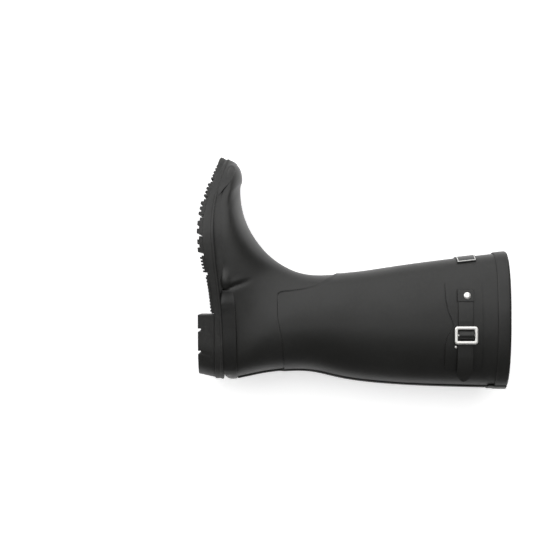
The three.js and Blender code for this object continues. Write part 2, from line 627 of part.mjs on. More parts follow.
// The chape lies on the panel under the strap and ends in an eye round the centre bar.
function chape() {
  const z0 = STRAP_HEIGHT - CHAPE_WIDTH / 2;
  const z1 = STRAP_HEIGHT + CHAPE_WIDTH / 2;
  const low = BAR_LEVEL - EYE_RADIUS + CHAPE_THICKNESS / 2;
  const path = [[30, CHAPE_LEVEL], [40, CHAPE_LEVEL], [49.5, CHAPE_LEVEL], [52.5, CHAPE_LEVEL + 0.1],
    [55.4, lerp(CHAPE_LEVEL, low, 0.5)], [FRAME_CENTRE + 0.2, low]];
  const strip = ribbon(path, CHAPE_THICKNESS, z0, z1);
  const eye = pin(barPlace, EYE_RADIUS, CHAPE_WIDTH);
  const ear = ribbon([[46, CHAPE_LEVEL], [43.5, CHAPE_LEVEL], [41, CHAPE_LEVEL]], CHAPE_THICKNESS, STRAP_LOW - 5, z0 + 2);
  const bore = pin(barPlace, BAR_RADIUS + FIT, CHAPE_WIDTH + 2);
  return strip.add(ear).add(eye).subtract(bore);
}

function roundedBox(length, width, radius) {
  const shape = new THREE.Shape();
  const [x, y] = [length / 2, width / 2];
  shape.moveTo(-x + radius, -y);
  shape.lineTo(x - radius, -y);
  shape.absarc(x - radius, -y + radius, radius, -Math.PI / 2, 0);
  shape.absarc(x - radius, y - radius, radius, 0, Math.PI / 2);
  shape.absarc(-x + radius, y - radius, radius, Math.PI / 2, Math.PI);
  shape.absarc(-x + radius, -y + radius, radius, Math.PI, 1.5 * Math.PI);
  return shape;
}

function buckleFrame() {
  const shape = roundedBox(FRAME_LENGTH, FRAME_WIDTH, 3.4);
  const window = roundedBox(FRAME_LENGTH - 2 * FRAME_BAR, FRAME_WIDTH - 2 * FRAME_BAR, 1.2);
  shape.holes.push(window);
  const geometry = new THREE.ExtrudeGeometry(shape, {
    depth: FRAME_THICKNESS, bevelEnabled: false, curveSegments: 4,
  });
  geometry.translate(0, 0, -FRAME_THICKNESS / 2);
  geometry.rotateX(Math.PI / 2);
  geometry.translate(barPlace.x, barPlace.y, STRAP_HEIGHT);
  const bores = pin(barPlace, BAR_RADIUS - 0.2 + FIT, FRAME_WIDTH - 3);
  return toSolid(geometry).subtract(bores);
}

function centreBar() {
  return pin(barPlace, BAR_RADIUS - 0.2, FRAME_WIDTH - 3.6);
}

// Front tab: covers the strap's end, its front edge turned down onto the panel.
const TAB_LEVEL = STRAP_REST + STRAP_THICKNESS / 2 + FIT + OVERLAY / 2 + 0.15;

function strapTab() {
  const [z0, z1] = [STRAP_LOW - 0.9, STRAP_HIGH + 0.6];
  const cover = ribbon([[113.4, TAB_LEVEL], [106, TAB_LEVEL], [99, TAB_LEVEL + 0.2]], OVERLAY, z0, z1);
  const foot = ribbon([[113.4, (TAB_LEVEL + PANEL_SKIN + FIT) / 2], [112.2, (TAB_LEVEL + PANEL_SKIN + FIT) / 2],
    [STRAP_FRONT + 0.9, (TAB_LEVEL + PANEL_SKIN + FIT) / 2]], TAB_LEVEL - PANEL_SKIN - FIT, z0, z1);
  return cover.add(foot).subtract(rivetHole);
}

function anchorRivet() {
  const seatLevel = TAB_LEVEL + OVERLAY / 2 + FIT + 0.25;
  return turned(...RIVET_PLACE, [[0, -RUBBER + 0.2], [RIVET_SHANK, -RUBBER + 0.2], [RIVET_SHANK, seatLevel],
    [RIVET_RADIUS, seatLevel], [RIVET_RADIUS, seatLevel + 0.2], [3.1, seatLevel + 1.1], [1.6, seatLevel + 1.6],
    [0, seatLevel + 1.7]]);
}

function chapeStud() {
  const seatLevel = CHAPE_LEVEL + CHAPE_THICKNESS / 2 + FIT + 0.1;
  return turned(43.5, STRAP_LOW - 2.7, [[0, seatLevel], [1.6, seatLevel], [1.4, seatLevel + 0.8],
    [0.8, seatLevel + 1.15], [0, seatLevel + 1.2]], 12);
}

// ---- Assembly -----------------------------------------------------------------------------------------------
const boot = new THREE.Group();

function addPiece(name, solid, color, roughness, metalness = 0) {
  const material = new THREE.MeshStandardMaterial({ color, roughness, metalness });
  const mesh = new THREE.Mesh(toGeometry(solid), material);
  mesh.name = name;
  boot.add(mesh);
}

const RUBBER_BLACK = '#232425';
const RUBBER_SOLE = '#1e1f20';
const METAL = '#c9c9c4';

addPiece('outsole', outsole(), RUBBER_SOLE, 0.6);
addPiece('heel_block', heelBlock(), RUBBER_SOLE, 0.6);
addPiece('heel_core', heelPocket(FIT), '#55524c', 0.9);
addPiece('midsole_filler', fillerBody().subtract(shankSlot(FIT)), '#6d675c', 0.95);
addPiece('shank', shank(), '#8d9094', 0.4, 1);
addPiece('vamp', vamp(), RUBBER_BLACK, 0.5);
addPiece('leg', leg(), RUBBER_BLACK, 0.5);
addPiece('toe_cap', layer(FIT + OVERLAY, FIT).intersect(toeCapRegion()).intersect(onSole), RUBBER_BLACK, 0.45);
addPiece('heel_patch', layer(FIT + OVERLAY, FIT).intersect(heelPatchRegion()).intersect(onSole), RUBBER_BLACK, 0.4);
addPiece('back_strip', backStrip(), RUBBER_BLACK, 0.5);
addPiece('top_binding', topBinding(), RUBBER_BLACK, 0.45);
addPiece('toe_puff', stiffener().intersect(ahead(TOE_PUFF_BACK)), '#8b8272', 0.9);
addPiece('heel_counter', stiffener().intersect(behind(COUNTER_FRONT)).intersect(below(COUNTER_TOP)), '#8b8272', 0.9);
addPiece('foot_interlining', stiffener().intersect(behind(TOE_PUFF_BACK - FIT)).intersect(footSide)
  .subtract(behind(COUNTER_FRONT + FIT).intersect(below(COUNTER_TOP + FIT))), '#9a9488', 0.95);
addPiece('leg_interlining', stiffener().intersect(legSide).intersect(belowRim), '#9a9488', 0.95);
addPiece('foot_lining', layer(-LINING_SKIN, -INSIDE, coarse).intersect(footSide), '#34342f', 0.95);
addPiece('leg_lining', layer(-LINING_SKIN, -INSIDE, coarse).intersect(legSide).intersect(belowRim), '#34342f', 0.95);
const BOARD_FRONT = 262 * LENGTH_RATIO;
const FOOTBED_FRONT = 256 * LENGTH_RATIO;
const FOAM_LOW = INSIDE + 2 * FIT + BOARD;
addPiece('insole_board', insideBand(INSIDE + FIT, 4, BOARD_FRONT, INSIDE + FIT, INSIDE + FIT + BOARD), '#a58c66', 0.9);
addPiece('footbed_foam', insideBand(INSIDE + 2 * FIT, 5, FOOTBED_FRONT, FOAM_LOW, FOAM_LOW + FOOTBED), '#d8d2c4', 0.9);
addPiece('footbed_cover', insideBand(INSIDE + 2 * FIT, 5, FOOTBED_FRONT, FOAM_LOW + FOOTBED + FIT,
  FOAM_LOW + FOOTBED + FIT + COVER), '#c3a679', 0.85);
addPiece('strap_panel', strapPanel(), RUBBER_BLACK, 0.5);
addPiece('badge', badge(), '#1b1b1c', 0.45);
addPiece('strap', strap(), RUBBER_BLACK, 0.5);
addPiece('strap_tail', strapTail(), RUBBER_BLACK, 0.5);
addPiece('strap_tab', strapTab(), RUBBER_BLACK, 0.5);
addPiece('chape', chape(), RUBBER_BLACK, 0.5);
addPiece('chape_stud', chapeStud(), METAL, 0.3, 1);
addPiece('buckle_frame', buckleFrame(), METAL, 0.25, 1);
addPiece('buckle_bar', centreBar(), METAL, 0.3, 1);
addPiece('anchor_rivet', anchorRivet(), METAL, 0.25, 1);

// The origin is the middle of the boot's box, on the floor.
const box = new THREE.Box3().setFromObject(boot);
boot.position.set(-(box.min.x + box.max.x) / 2, -(box.min.y + box.max.y) / 2, -box.min.z);

export default boot;
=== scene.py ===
# %% [markdown]
# # A rubber rain boot, made up in Blender around its fixed frame
#
# A rain boot is laid up on a *last*, the foot-shaped form that the maker stretches the knitted
# lining over. Sheets of soft rubber are then wrapped on it one over the other: vamp, leg, heel
# patch, toe cap, back strip, rim binding. This lesson works the same way. It first builds the
# last as a grid of points, and every rubber sheet is a mesh grid draped on it at its own level.

# %% Load the frame
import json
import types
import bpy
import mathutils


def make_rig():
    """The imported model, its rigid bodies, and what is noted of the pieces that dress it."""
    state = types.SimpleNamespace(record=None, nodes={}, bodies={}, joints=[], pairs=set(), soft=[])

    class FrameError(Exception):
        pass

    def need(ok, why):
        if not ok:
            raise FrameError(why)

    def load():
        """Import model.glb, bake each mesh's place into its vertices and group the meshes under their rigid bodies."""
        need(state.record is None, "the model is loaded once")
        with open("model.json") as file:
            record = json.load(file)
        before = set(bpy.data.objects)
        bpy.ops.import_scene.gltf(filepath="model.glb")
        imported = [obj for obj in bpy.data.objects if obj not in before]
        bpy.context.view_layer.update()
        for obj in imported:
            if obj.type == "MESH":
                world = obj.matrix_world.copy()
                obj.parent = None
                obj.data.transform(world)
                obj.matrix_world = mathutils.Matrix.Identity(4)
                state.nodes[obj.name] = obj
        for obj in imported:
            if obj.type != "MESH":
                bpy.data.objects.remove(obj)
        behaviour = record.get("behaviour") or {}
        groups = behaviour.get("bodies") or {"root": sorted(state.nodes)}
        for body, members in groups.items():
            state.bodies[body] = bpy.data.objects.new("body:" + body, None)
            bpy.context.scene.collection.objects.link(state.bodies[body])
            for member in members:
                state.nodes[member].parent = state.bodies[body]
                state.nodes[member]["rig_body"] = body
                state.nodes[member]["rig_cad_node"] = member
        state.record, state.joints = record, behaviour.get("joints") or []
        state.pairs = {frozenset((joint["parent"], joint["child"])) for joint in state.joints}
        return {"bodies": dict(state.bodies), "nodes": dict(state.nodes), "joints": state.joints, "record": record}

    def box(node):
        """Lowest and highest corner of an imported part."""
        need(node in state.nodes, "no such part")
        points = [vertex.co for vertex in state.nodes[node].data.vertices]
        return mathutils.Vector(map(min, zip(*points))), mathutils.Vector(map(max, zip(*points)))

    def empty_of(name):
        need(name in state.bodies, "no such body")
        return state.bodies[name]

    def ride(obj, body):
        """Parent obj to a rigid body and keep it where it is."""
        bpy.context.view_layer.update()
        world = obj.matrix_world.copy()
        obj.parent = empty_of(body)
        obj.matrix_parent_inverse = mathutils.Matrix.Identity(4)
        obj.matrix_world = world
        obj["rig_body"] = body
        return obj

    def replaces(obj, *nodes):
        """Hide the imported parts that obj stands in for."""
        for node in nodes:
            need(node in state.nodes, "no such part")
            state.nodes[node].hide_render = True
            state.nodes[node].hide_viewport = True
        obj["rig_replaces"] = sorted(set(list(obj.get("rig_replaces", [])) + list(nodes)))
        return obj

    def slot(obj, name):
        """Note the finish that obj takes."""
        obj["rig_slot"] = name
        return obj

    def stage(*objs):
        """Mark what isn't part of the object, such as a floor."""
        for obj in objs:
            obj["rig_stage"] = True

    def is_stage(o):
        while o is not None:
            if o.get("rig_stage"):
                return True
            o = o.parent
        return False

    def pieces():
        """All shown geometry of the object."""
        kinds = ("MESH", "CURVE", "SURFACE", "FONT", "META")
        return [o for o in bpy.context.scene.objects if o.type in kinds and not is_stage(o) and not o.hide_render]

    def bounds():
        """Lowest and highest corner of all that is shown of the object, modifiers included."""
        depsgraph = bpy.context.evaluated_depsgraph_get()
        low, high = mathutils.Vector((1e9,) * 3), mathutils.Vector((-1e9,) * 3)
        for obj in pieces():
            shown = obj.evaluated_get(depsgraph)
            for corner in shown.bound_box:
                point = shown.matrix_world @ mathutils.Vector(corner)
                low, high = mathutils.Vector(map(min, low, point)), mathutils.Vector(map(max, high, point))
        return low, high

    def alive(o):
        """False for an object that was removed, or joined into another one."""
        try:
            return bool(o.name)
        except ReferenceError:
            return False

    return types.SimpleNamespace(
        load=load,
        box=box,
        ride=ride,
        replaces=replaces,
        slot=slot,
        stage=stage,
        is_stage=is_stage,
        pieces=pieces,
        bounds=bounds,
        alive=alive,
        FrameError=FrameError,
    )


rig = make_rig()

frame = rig.load()
import json
import math
import bpy
import numpy as np
from mathutils import Matrix, Vector
from mathutils.bvhtree import BVHTree

CAD_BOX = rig.bounds()
MM = 0.001
print("bodies", list(frame["bodies"]), "nodes", len(frame["nodes"]))

# %% [markdown]
# ## The last
#
# The last is given by stations. Each station is a slanted cut through the boot: a point on the
# top or front line, a point on the sole or back line, and a rounded section between the two.
# The cuts swing from upright at the toe to level at the rim, as a bootmaker's do. Between
# stations the numbers run on a smooth curve. The numbers are the frame's own, in millimetres,
# with `f` the distance forward of the heel's back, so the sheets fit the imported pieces.

# %% Sizes of the frame
HEEL_SEAT, BALL_SEAT = 29.5, 18.8
HEEL_HEIGHT, HEEL_LENGTH = 20.5, 83.0
FOOT_LENGTH, BALL_WIDTH, WELT = 272.5, 98.0, 4.6
BOOT_HEIGHT, RIM_DEPTH, RIM_SETBACK, LEG_WIDTH = 385.0, 167.0, 8.6, 77.0
LEG_SKIN, OVERLAY, BINDING, BINDING_DROP = 1.2, 1.2, 1.5, 16.5
FIT = 0.3                # clearance between two sheets
OVER_LEG = LEG_SKIN + FIT
LINING_SKIN = 3.5
STRAP_HEIGHT, STRAP_WIDTH = 328.3, 18.5
ANKLE_FRONT, SHIN_START, CALF_START = 130.8, 147.5, 56.5
ORIGIN_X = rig.box("outsole")[0][0] / MM + FOOT_LENGTH + WELT
ORIGIN_Y = (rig.box("leg_lining")[0][1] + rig.box("leg_lining")[1][1]) / 2 / MM


def in_frame(points):
    """Forward, inward and up distances in millimetres, as places in the frame in metres."""
    points = np.asarray(points, float)
    f, y, z = points[..., 0], points[..., 1], points[..., 2]
    return np.stack([ORIGIN_X - f, ORIGIN_Y + y, z], -1) * MM


print("origin", round(ORIGIN_X, 2), round(ORIGIN_Y, 2))

# %% Smooth curves through a few points
def curve_through(points, count):
    """Points along a smooth centripetal curve, ends included."""
    p = np.asarray(points, float)
    p = np.vstack([2 * p[0] - p[1], p, 2 * p[-1] - p[-2]])
    out = []
    for i in range(1, len(p) - 2):
        a, b, c, d = p[i - 1:i + 3]
        t1 = max(np.linalg.norm(b - a), 1e-6) ** 0.5
        t2 = t1 + max(np.linalg.norm(c - b), 1e-6) ** 0.5
        t3 = t2 + max(np.linalg.norm(d - c), 1e-6) ** 0.5
        for t in np.linspace(t1, t2, count, endpoint=False):
            ab = (t1 - t) / t1 * a + t / t1 * b
            bc = (t2 - t) / (t2 - t1) * b + (t - t1) / (t2 - t1) * c
            cd = (t3 - t) / (t3 - t2) * c + (t - t2) / (t3 - t2) * d
            abc = (t2 - t) / t2 * ab + t / t2 * bc
            bcd = (t3 - t) / (t3 - t1) * bc + (t - t1) / (t3 - t1) * cd
            out.append((t2 - t) / (t2 - t1) * abc + (t - t1) / (t2 - t1) * bcd)
    return np.array(out + [p[-2]])


def height_line(points):
    """Height as a function of the forward distance, through a few points."""
    line = curve_through(points, 24)
    line = line[np.argsort(line[:, 0])]
    return lambda f: np.interp(f, line[:, 0], line[:, 1])


seat = height_line([
    (-40, HEEL_SEAT), (0, HEEL_SEAT), (50, HEEL_SEAT), (82, 28.1), (118, 24.8), (152, 20.9),
    (186, BALL_SEAT), (214, 20.2), (236, 24.0), (254, 28.6), (266, 32.2), (276, 35.8), (300, 44.8)])
print("seat at the ball", round(float(seat(186)), 1))

# %% Stations, toe to rim
FOOT_STATIONS = [
    (1.000, 11.5, 1.000, 4.7, 12.0, 0.00, 0.50, 2.0, 2.0),
    (0.993, 16.0, 0.993, 1.0, 12.0, 0.23, 0.48, 2.0, 2.1),
    (0.973, 20.5, 0.973, 0.0, 11.3, 0.43, 0.45, 2.0, 2.3),
    (0.930, 23.3, 0.930, 0.0, 10.0, 0.63, 0.42, 2.1, 2.6),
    (0.864, 21.5, 0.864, 0.0, 8.3, 0.81, 0.38, 2.1, 3.0),
    (0.784, 24.0, 0.776, 0.0, 4.3, 0.94, 0.33, 2.1, 3.4),
    (0.708, 31.0, 0.673, 0.0, 1.0, 1.00, 0.28, 2.05, 3.6),
    (0.642, 41.5, 0.556, 0.0, -1.5, 0.93, 0.27, 2.05, 3.6),
    (0.585, 54.0, 0.431, 0.0, -2.8, 0.84, 0.28, 2.05, 3.4),
    (0.543, 67.5, 0.299, 0.0, -2.0, 0.78, 0.33, 2.1, 3.2),
    (0.514, 80.5, 0.167, 0.0, -0.5, 0.765, 0.40, 2.3, 3.0),
    (0.495, 92.5, 0.060, 0.0, 0.0, 0.775, 0.45, 2.4, 2.6),
    (0.484, 105.0, 0.007, 7.5, 0.0, 0.785, 0.48, 2.4, 2.3)]
LEG_STATIONS = [
    (0.000, 0.000, 0.00, 4.2), (0.065, 0.075, 0.01, 9.3), (0.145, 0.165, 0.07, 12.6),
    (0.248, 0.263, 0.16, 12.0), (0.375, 0.385, 0.32, 2.6), (0.535, 0.540, 0.52, -3.2),
    (0.735, 0.735, 0.74, -6.6), (1.000, 1.000, 1.00, -RIM_SETBACK)]


def stations():
    """One row per station: top f, z; back f, z; centre, half width, low share, two roundnesses."""
    rows = []
    for top_f, rise, low_f, lift, centre, half, low, above, below in FOOT_STATIONS:
        f = low_f * FOOT_LENGTH
        rows.append((top_f * FOOT_LENGTH, HEEL_SEAT + rise, f, float(seat(f)) + lift,
                     centre, half * BALL_WIDTH / 2, low, above, below))
    for front_up, back_up, flare, back in LEG_STATIONS:
        front = ANKLE_FRONT + flare * (RIM_DEPTH - RIM_SETBACK - ANKLE_FRONT)
        rows.append((front, SHIN_START + front_up * (BOOT_HEIGHT - SHIN_START),
                     back, CALF_START + back_up * (BOOT_HEIGHT - CALF_START),
                     0, LEG_WIDTH / 2, 0.5, 2.4, 2.25))
    rows = np.array(rows)
    rows[0, 2:4] = rows[0, :2]
    return rows


def between(rows, t):
    """Catmull-Rom value of every column at row t."""
    i = int(min(math.floor(t), len(rows) - 2))
    u = t - i
    p, q, r, s = (rows[min(max(k, 0), len(rows) - 1)] for k in (i - 1, i, i + 1, i + 2))
    a, b = (r - p) / 2, (s - q) / 2
    return q + u * (a + u * (3 * (r - q) - 2 * a - b + u * (2 * (q - r) + a + b)))


STATIONS = stations()
print("stations", len(STATIONS))

# %% The last as a fine grid of points with normals
RING_STEPS, AROUND = 14, 288


def ring(t):
    """Points evenly spaced round one cut, from the front line over the outer side to the back."""
    top_f, top_z, back_f, back_z, centre, half, low, above, below = between(STATIONS, t)
    turn = np.linspace(0, 2 * math.pi, 1201)
    c, s = np.cos(turn), np.sin(turn)
    power = np.where(c >= 0, 2 / above, 2 / below)
    reach = np.where(c >= 0, 1 - low, low)
    up = low + np.sign(c) * np.abs(c) ** power * reach
    out = np.sign(s) * np.abs(s) ** power
    points = np.stack([back_f + (top_f - back_f) * up, centre - out * max(half, 0),
                       back_z + (top_z - back_z) * up], -1)
    walked = np.concatenate([[0], np.cumsum(np.linalg.norm(np.diff(points, axis=0), axis=1))])
    if walked[-1] < 1e-6:
        return np.repeat(points[:1], AROUND, 0)
    want = np.linspace(0, walked[-1], AROUND, endpoint=False)
    return np.stack([np.interp(want, walked, points[:, k]) for k in range(3)], -1)


def soften(values, passes):
    """Even out small waves along the rings, ends kept."""
    for _ in range(passes):
        values[2:-1] = (values[1:-2] + 2 * values[2:-1] + values[3:]) / 4
    return values


ROWS = RING_STEPS * (len(STATIONS) - 1) + 1
LAST = soften(np.array([ring(i / RING_STEPS) for i in range(ROWS)]), 24)


def grid_normals(grid):
    """Outward normals from each point's neighbours."""
    along = np.empty_like(grid)
    along[1:-1] = grid[2:] - grid[:-2]
    along[0], along[-1] = grid[1] - grid[0], grid[-1] - grid[-2]
    across = np.roll(grid, -1, 1) - np.roll(grid, 1, 1)
    normals = np.cross(along, across)
    normals[0] = (1, 0, 0)
    normals[-1, :, 2] = 0
    return normals / np.maximum(np.linalg.norm(normals, axis=-1, keepdims=True), 1e-9)


NORMALS = grid_normals(LAST)


def skin(row, turn, level):
    """Points at a level over the last; row counts rings, turn is the share of the way round."""
    row = np.clip(np.asarray(row, float), 0, ROWS - 1.001)
    turn = np.asarray(turn, float) % 1 * AROUND
    i, j = row.astype(int), turn.astype(int) % AROUND
    u, v = (row - i)[..., None], (turn - np.floor(turn))[..., None]
    k = (j + 1) % AROUND

    def mix(grid):
        return ((1 - u) * ((1 - v) * grid[i, j] + v * grid[i, k])
                + u * ((1 - v) * grid[i + 1, j] + v * grid[i + 1, k]))
    normal = mix(NORMALS)
    normal = normal / np.linalg.norm(normal, axis=-1, keepdims=True)
    return mix(LAST) + normal * np.asarray(level, float)[..., None]


def row_where(turn, test):
    """Ring number where `test`, a signed value of the points, last turns positive on a column."""
    j = int(round(turn % 1 * AROUND)) % AROUND
    value = test(LAST[:, j])
    change = np.nonzero((value[:-1] < 0) & (value[1:] >= 0))[0]
    i = int(change[-1]) if len(change) else 0
    return i + value[i] / (value[i] - value[i + 1])


print("last", LAST.shape, "normal up at the instep", np.round(NORMALS[ROWS // 3, 0], 2))

# %% [markdown]
# ## Draping a sheet
#
# Blender's grid primitive is a flat sheet of quads. Moving each of its points to its place on the
# last gives an even, all-quad surface that shades cleanly. A sheet could also be shrink-wrapped,
# but then its edges would wander; here the edges lie exactly on the seam lines.

# %% A grid draped on the last
def deselect():
    bpy.ops.object.select_all(action="DESELECT")


def only(obj):
    deselect()
    obj.select_set(True)
    bpy.context.view_layer.objects.active = obj
    return obj


def in_edit(obj, *steps):
    """Run edit-mode operators on all of a piece."""
    only(obj)
    bpy.ops.object.mode_set(mode="EDIT")
    bpy.ops.mesh.select_all(action="SELECT")
    for step in steps:
        step()
    bpy.ops.object.mode_set(mode="OBJECT")
    return obj


def face_outward(obj):
    return in_edit(obj, lambda: bpy.ops.mesh.normals_make_consistent(inside=False))


def drape(name, cols, rows, place, loop=False):
    """A grid of cols by rows faces, its points moved to place(a, b, extra level).

    The extra level tells which way is out. A closed shape ignores it and is faced outward afterwards.
    """
    deselect()
    bpy.ops.mesh.primitive_grid_add(x_subdivisions=cols, y_subdivisions=rows, size=1)
    obj = bpy.context.object
    obj.name = obj.data.name = name
    flat = np.empty(len(obj.data.vertices) * 3)
    obj.data.vertices.foreach_get("co", flat)
    a, b = flat.reshape(-1, 3)[:, 0] + 0.5, flat.reshape(-1, 3)[:, 1] + 0.5
    points = in_frame(place(a, b, 0.0))
    lifted = in_frame(place(a, b, 1.0))
    obj.data.vertices.foreach_set("co", points.astype(np.float32).ravel())
    obj.data.update()
    normals = np.array([v.normal[:] for v in obj.data.vertices])
    if np.sum(normals * (lifted - points)) <= 0:
        in_edit(obj, bpy.ops.mesh.flip_normals)
    if loop:
        in_edit(obj, lambda: bpy.ops.mesh.remove_doubles(threshold=1e-6))
    return obj


def add_modifier(obj, kind, **values):
    """Add a modifier, set it and apply it."""
    only(obj)
    modifier = obj.modifiers.new(kind.title(), kind)
    for key, value in values.items():
        setattr(modifier, key, value)
    bpy.ops.object.modifier_apply(modifier=modifier.name)
    return obj


def thicken(obj, wall, offset=-1.0):
    """Give a sheet a wall in millimetres, inwards from its outer face."""
    return add_modifier(obj, "SOLIDIFY", thickness=wall * MM, offset=offset, use_even_offset=False)


def round_edges(obj, width, segments=2, angle=40):
    return add_modifier(obj, "BEVEL", width=width * MM, segments=segments, limit_method="ANGLE",
                        angle_limit=math.radians(angle), use_clamp_overlap=True)


def shade(obj, angle=35):
    only(obj)
    bpy.ops.object.shade_smooth_by_angle(angle=math.radians(angle))
    return obj


def stand_for(obj, body, slot, *nodes):
    """Carry a piece on its body, in place of the frame's plain nodes."""
    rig.ride(obj, body)
    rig.slot(obj, slot)
    if nodes:
        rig.replaces(obj, *nodes)
    print(obj.name, len(obj.data.polygons), "faces")
    return obj


def ease(x, start, end):
    """0 before start, 1 after end, smooth between."""
    t = np.clip((np.asarray(x, float) - start) / (end - start), 0, 1)
    return t * t * (3 - 2 * t)


# %% [markdown]
# ## Leg and vamp
#
# The leg is one sheet that wraps the calf and laps over the vamp. Its lower edge runs level round
# the ankle and then climbs to the shin in a curve, so the vamp shows as a tongue in front. On
# the real boot this lap is a visible step, so the leg really stands above the vamp here.

# %% Seam lines
FLAP_EDGE = [
    (-40, 107), (20, 106.5), (52, 104), (78, 98.8), (92, 98.6), (107.5, 99.5), (109.8, 104),
    (111.5, 120), (114.5, 137), (120.5, 154), (127.5, 165), (134, 176.5), (141, 187), (150, 200)]
flap_edge = height_line(FLAP_EDGE)
RIM_CUT = BOOT_HEIGHT - BINDING - FIT
COLUMNS = np.arange(AROUND + 1) / AROUND


def rows_at(test):
    return np.array([row_where(u, test) for u in COLUMNS])


FLAP_ROWS = rows_at(lambda p: p[:, 2] - flap_edge(p[:, 0]))
TUCK_ROWS = rows_at(lambda p: p[:, 2] - flap_edge(p[:, 0]) - 6)
NEAR_ROWS = rows_at(lambda p: p[:, 2] - flap_edge(p[:, 0]) + 9)
RIM_ROWS = rows_at(lambda p: p[:, 2] - RIM_CUT)
print("flap from ring", FLAP_ROWS.min().round(1), "to", FLAP_ROWS.max().round(1))


def band(lines, shares, level):
    """Place for a closed band through lines of ring numbers, each at its share of the rows."""
    def place(a, b, extra):
        at = [np.interp(a, COLUMNS, line) for line in lines]
        row = at[0] + 0 * b
        for k in range(1, len(lines)):
            part = np.clip((b - shares[k - 1]) / (shares[k] - shares[k - 1]), 0, 1)
            row = np.where(b > shares[k - 1], at[k - 1] + (at[k] - at[k - 1]) * part, row)
        points = skin(row, a, np.zeros_like(a))
        return skin(row, a, level(points) + extra)
    return place


def ripple(p, size, length):
    """The slight unevenness of a hand-laid sheet."""
    f, y, z = (p[..., k] / length for k in range(3))
    return size * (np.sin(1.7 * f + 0.6 * z) * np.sin(1.1 * z - 0.4 * y) + 0.5 * np.sin(2.3 * z + y))


def leg_level(p):
    """The leg's outer level, a little raised along its lower edge."""
    f, z = p[..., 0], p[..., 2]
    lip = (0.1 + 0.3 * ease(f, 104, 112)) * np.exp(-((z - flap_edge(f)) / 3.0) ** 2)
    return LEG_SKIN + ripple(p, 0.10, 42) + lip


leg = drape("leg_sheet", AROUND, 150, band((FLAP_ROWS, RIM_ROWS), (0, 1), leg_level), loop=True)
round_edges(thicken(leg, 0.9), 0.3)
stand_for(shade(leg), "boot", "rubber_black", "leg", "leg_interlining")

# %% [markdown]
# The vamp is the foot's sheet. It carries the marks of the parts under and beside it: the toe
# puff stands up as a soft ridge across the toes, and the sheet is creased where it folds in at
# the waist, with a puffy spot just in front of the crease.

# %% Vamp
def to_line(f, z, line):
    """Distance to a line of (f, z) points, and how far along it the nearest point lies."""
    best = np.full(f.shape, 1e9)
    share = np.zeros(f.shape)
    for k in range(len(line) - 1):
        (f0, z0), (f1, z1) = line[k], line[k + 1]
        length = math.hypot(f1 - f0, z1 - z0)
        t = np.clip(((f - f0) * (f1 - f0) + (z - z0) * (z1 - z0)) / length ** 2, 0, 1)
        away = np.hypot(f - f0 - t * (f1 - f0), z - z0 - t * (z1 - z0))
        share = np.where(away < best, (k + t) / (len(line) - 1), share)
        best = np.minimum(best, away)
    return best, share


WAIST_CREASE = [(108, 25), (112.5, 33), (116, 41), (121, 55), (127, 72)]
CREASE_DEPTH, CREASE_LIP, GROOVE_WIDE = 2.3, 1.5, 1.1
PUFF_F, PUFF_Z, PUFF_RISE = 124.5, 33.5, 4.2
TOE_RIDGE = 246.0        # where the toe puff ends on the centre line


def vamp_level(p):
    """The vamp's outer level: crease and puffy spot at the waist, toe ridge, groove beside the flap."""
    f, y, z = p[..., 0], p[..., 1], p[..., 2]
    side = ease(np.abs(y), 10, 24)
    away, share = to_line(f, z, WAIST_CREASE)
    crease = -CREASE_DEPTH * np.exp(-(away / 2.1) ** 2) * (1 - ease(share, 0.55, 1.0))
    crease_f, crease_z = np.array(WAIST_CREASE).T
    ahead = f > np.interp(z, crease_z, crease_f)
    lip = CREASE_LIP * np.exp(-((away - 4.5) / 3.5) ** 2) * ahead * (1 - ease(share, 0.3, 0.9))
    puff = PUFF_RISE * np.exp(-((f - PUFF_F) / 9) ** 2 - ((z - PUFF_Z) / 6) ** 2)
    puff_line = TOE_RIDGE - 0.0105 * (y - 9) ** 2
    toe = 0.9 * ease(f - puff_line, -1.5, 4.5) - 0.45 * np.exp(-((f - puff_line + 5) / 4) ** 2)
    beside, _ = to_line(f, z, FLAP_EDGE)
    below = z < flap_edge(f) + 0.5
    groove = -(0.35 + 0.85 * ease(f, 104, 112)) * np.exp(-(beside / GROOVE_WIDE) ** 2) * below
    return side * (crease + lip + puff) + toe * ease(z, 30, 40) + groove + ripple(p, 0.06, 30)


TOE_ROWS = np.zeros(AROUND + 1)
vamp_band = band((TOE_ROWS, NEAR_ROWS, TUCK_ROWS), (0, 0.86, 1), vamp_level)
vamp = drape("vamp_sheet", AROUND, 168, vamp_band, loop=True)
round_edges(thicken(vamp, 1.6), 0.3)
stand_for(shade(vamp), "boot", "rubber_black", "vamp", "foot_interlining", "toe_puff", "heel_counter")

# %% [markdown]
# ## Lining, board and footbed
#
# Inside is a knitted sock. It is seen through the rim, with a seam down the back, and at its
# bottom lies the tan footbed. These follow the last too, further in.

# %% Lining sock
LINING_TOP = rows_at(lambda p: p[:, 2] - (BOOT_HEIGHT - 5))


def lining_level(p):
    seam = 0.5 * np.exp(-(p[..., 1] / 1.3) ** 2) * (p[..., 0] < 60) * ease(p[..., 2], 60, 70)
    return -LINING_SKIN - 0.8 - seam


lining_band = band((TOE_ROWS, LINING_TOP), (0, 1), lining_level)
lining = drape("lining_sock", AROUND, 150, lining_band, loop=True)
thicken(lining, 0.7, 1.0)
stand_for(shade(lining), "boot", "lining_knit", "leg_lining", "foot_lining")

# %% [markdown]
# ## Overlays
#
# The heel patch, the toe cap, the back strip, the strap panel and the badge are thin sheets laid on
# the sheets below. Each is drawn as an outline in the side view or the back view; its grid is
# stretched between two edges and each point is dropped on the last.

# %% Points of the last, found by rays
OUTSIDE = 200            # rays start this far out
MID_LEG = 60.0           # forward place from which rays reach the shin and the calf
RING_TREES = {}


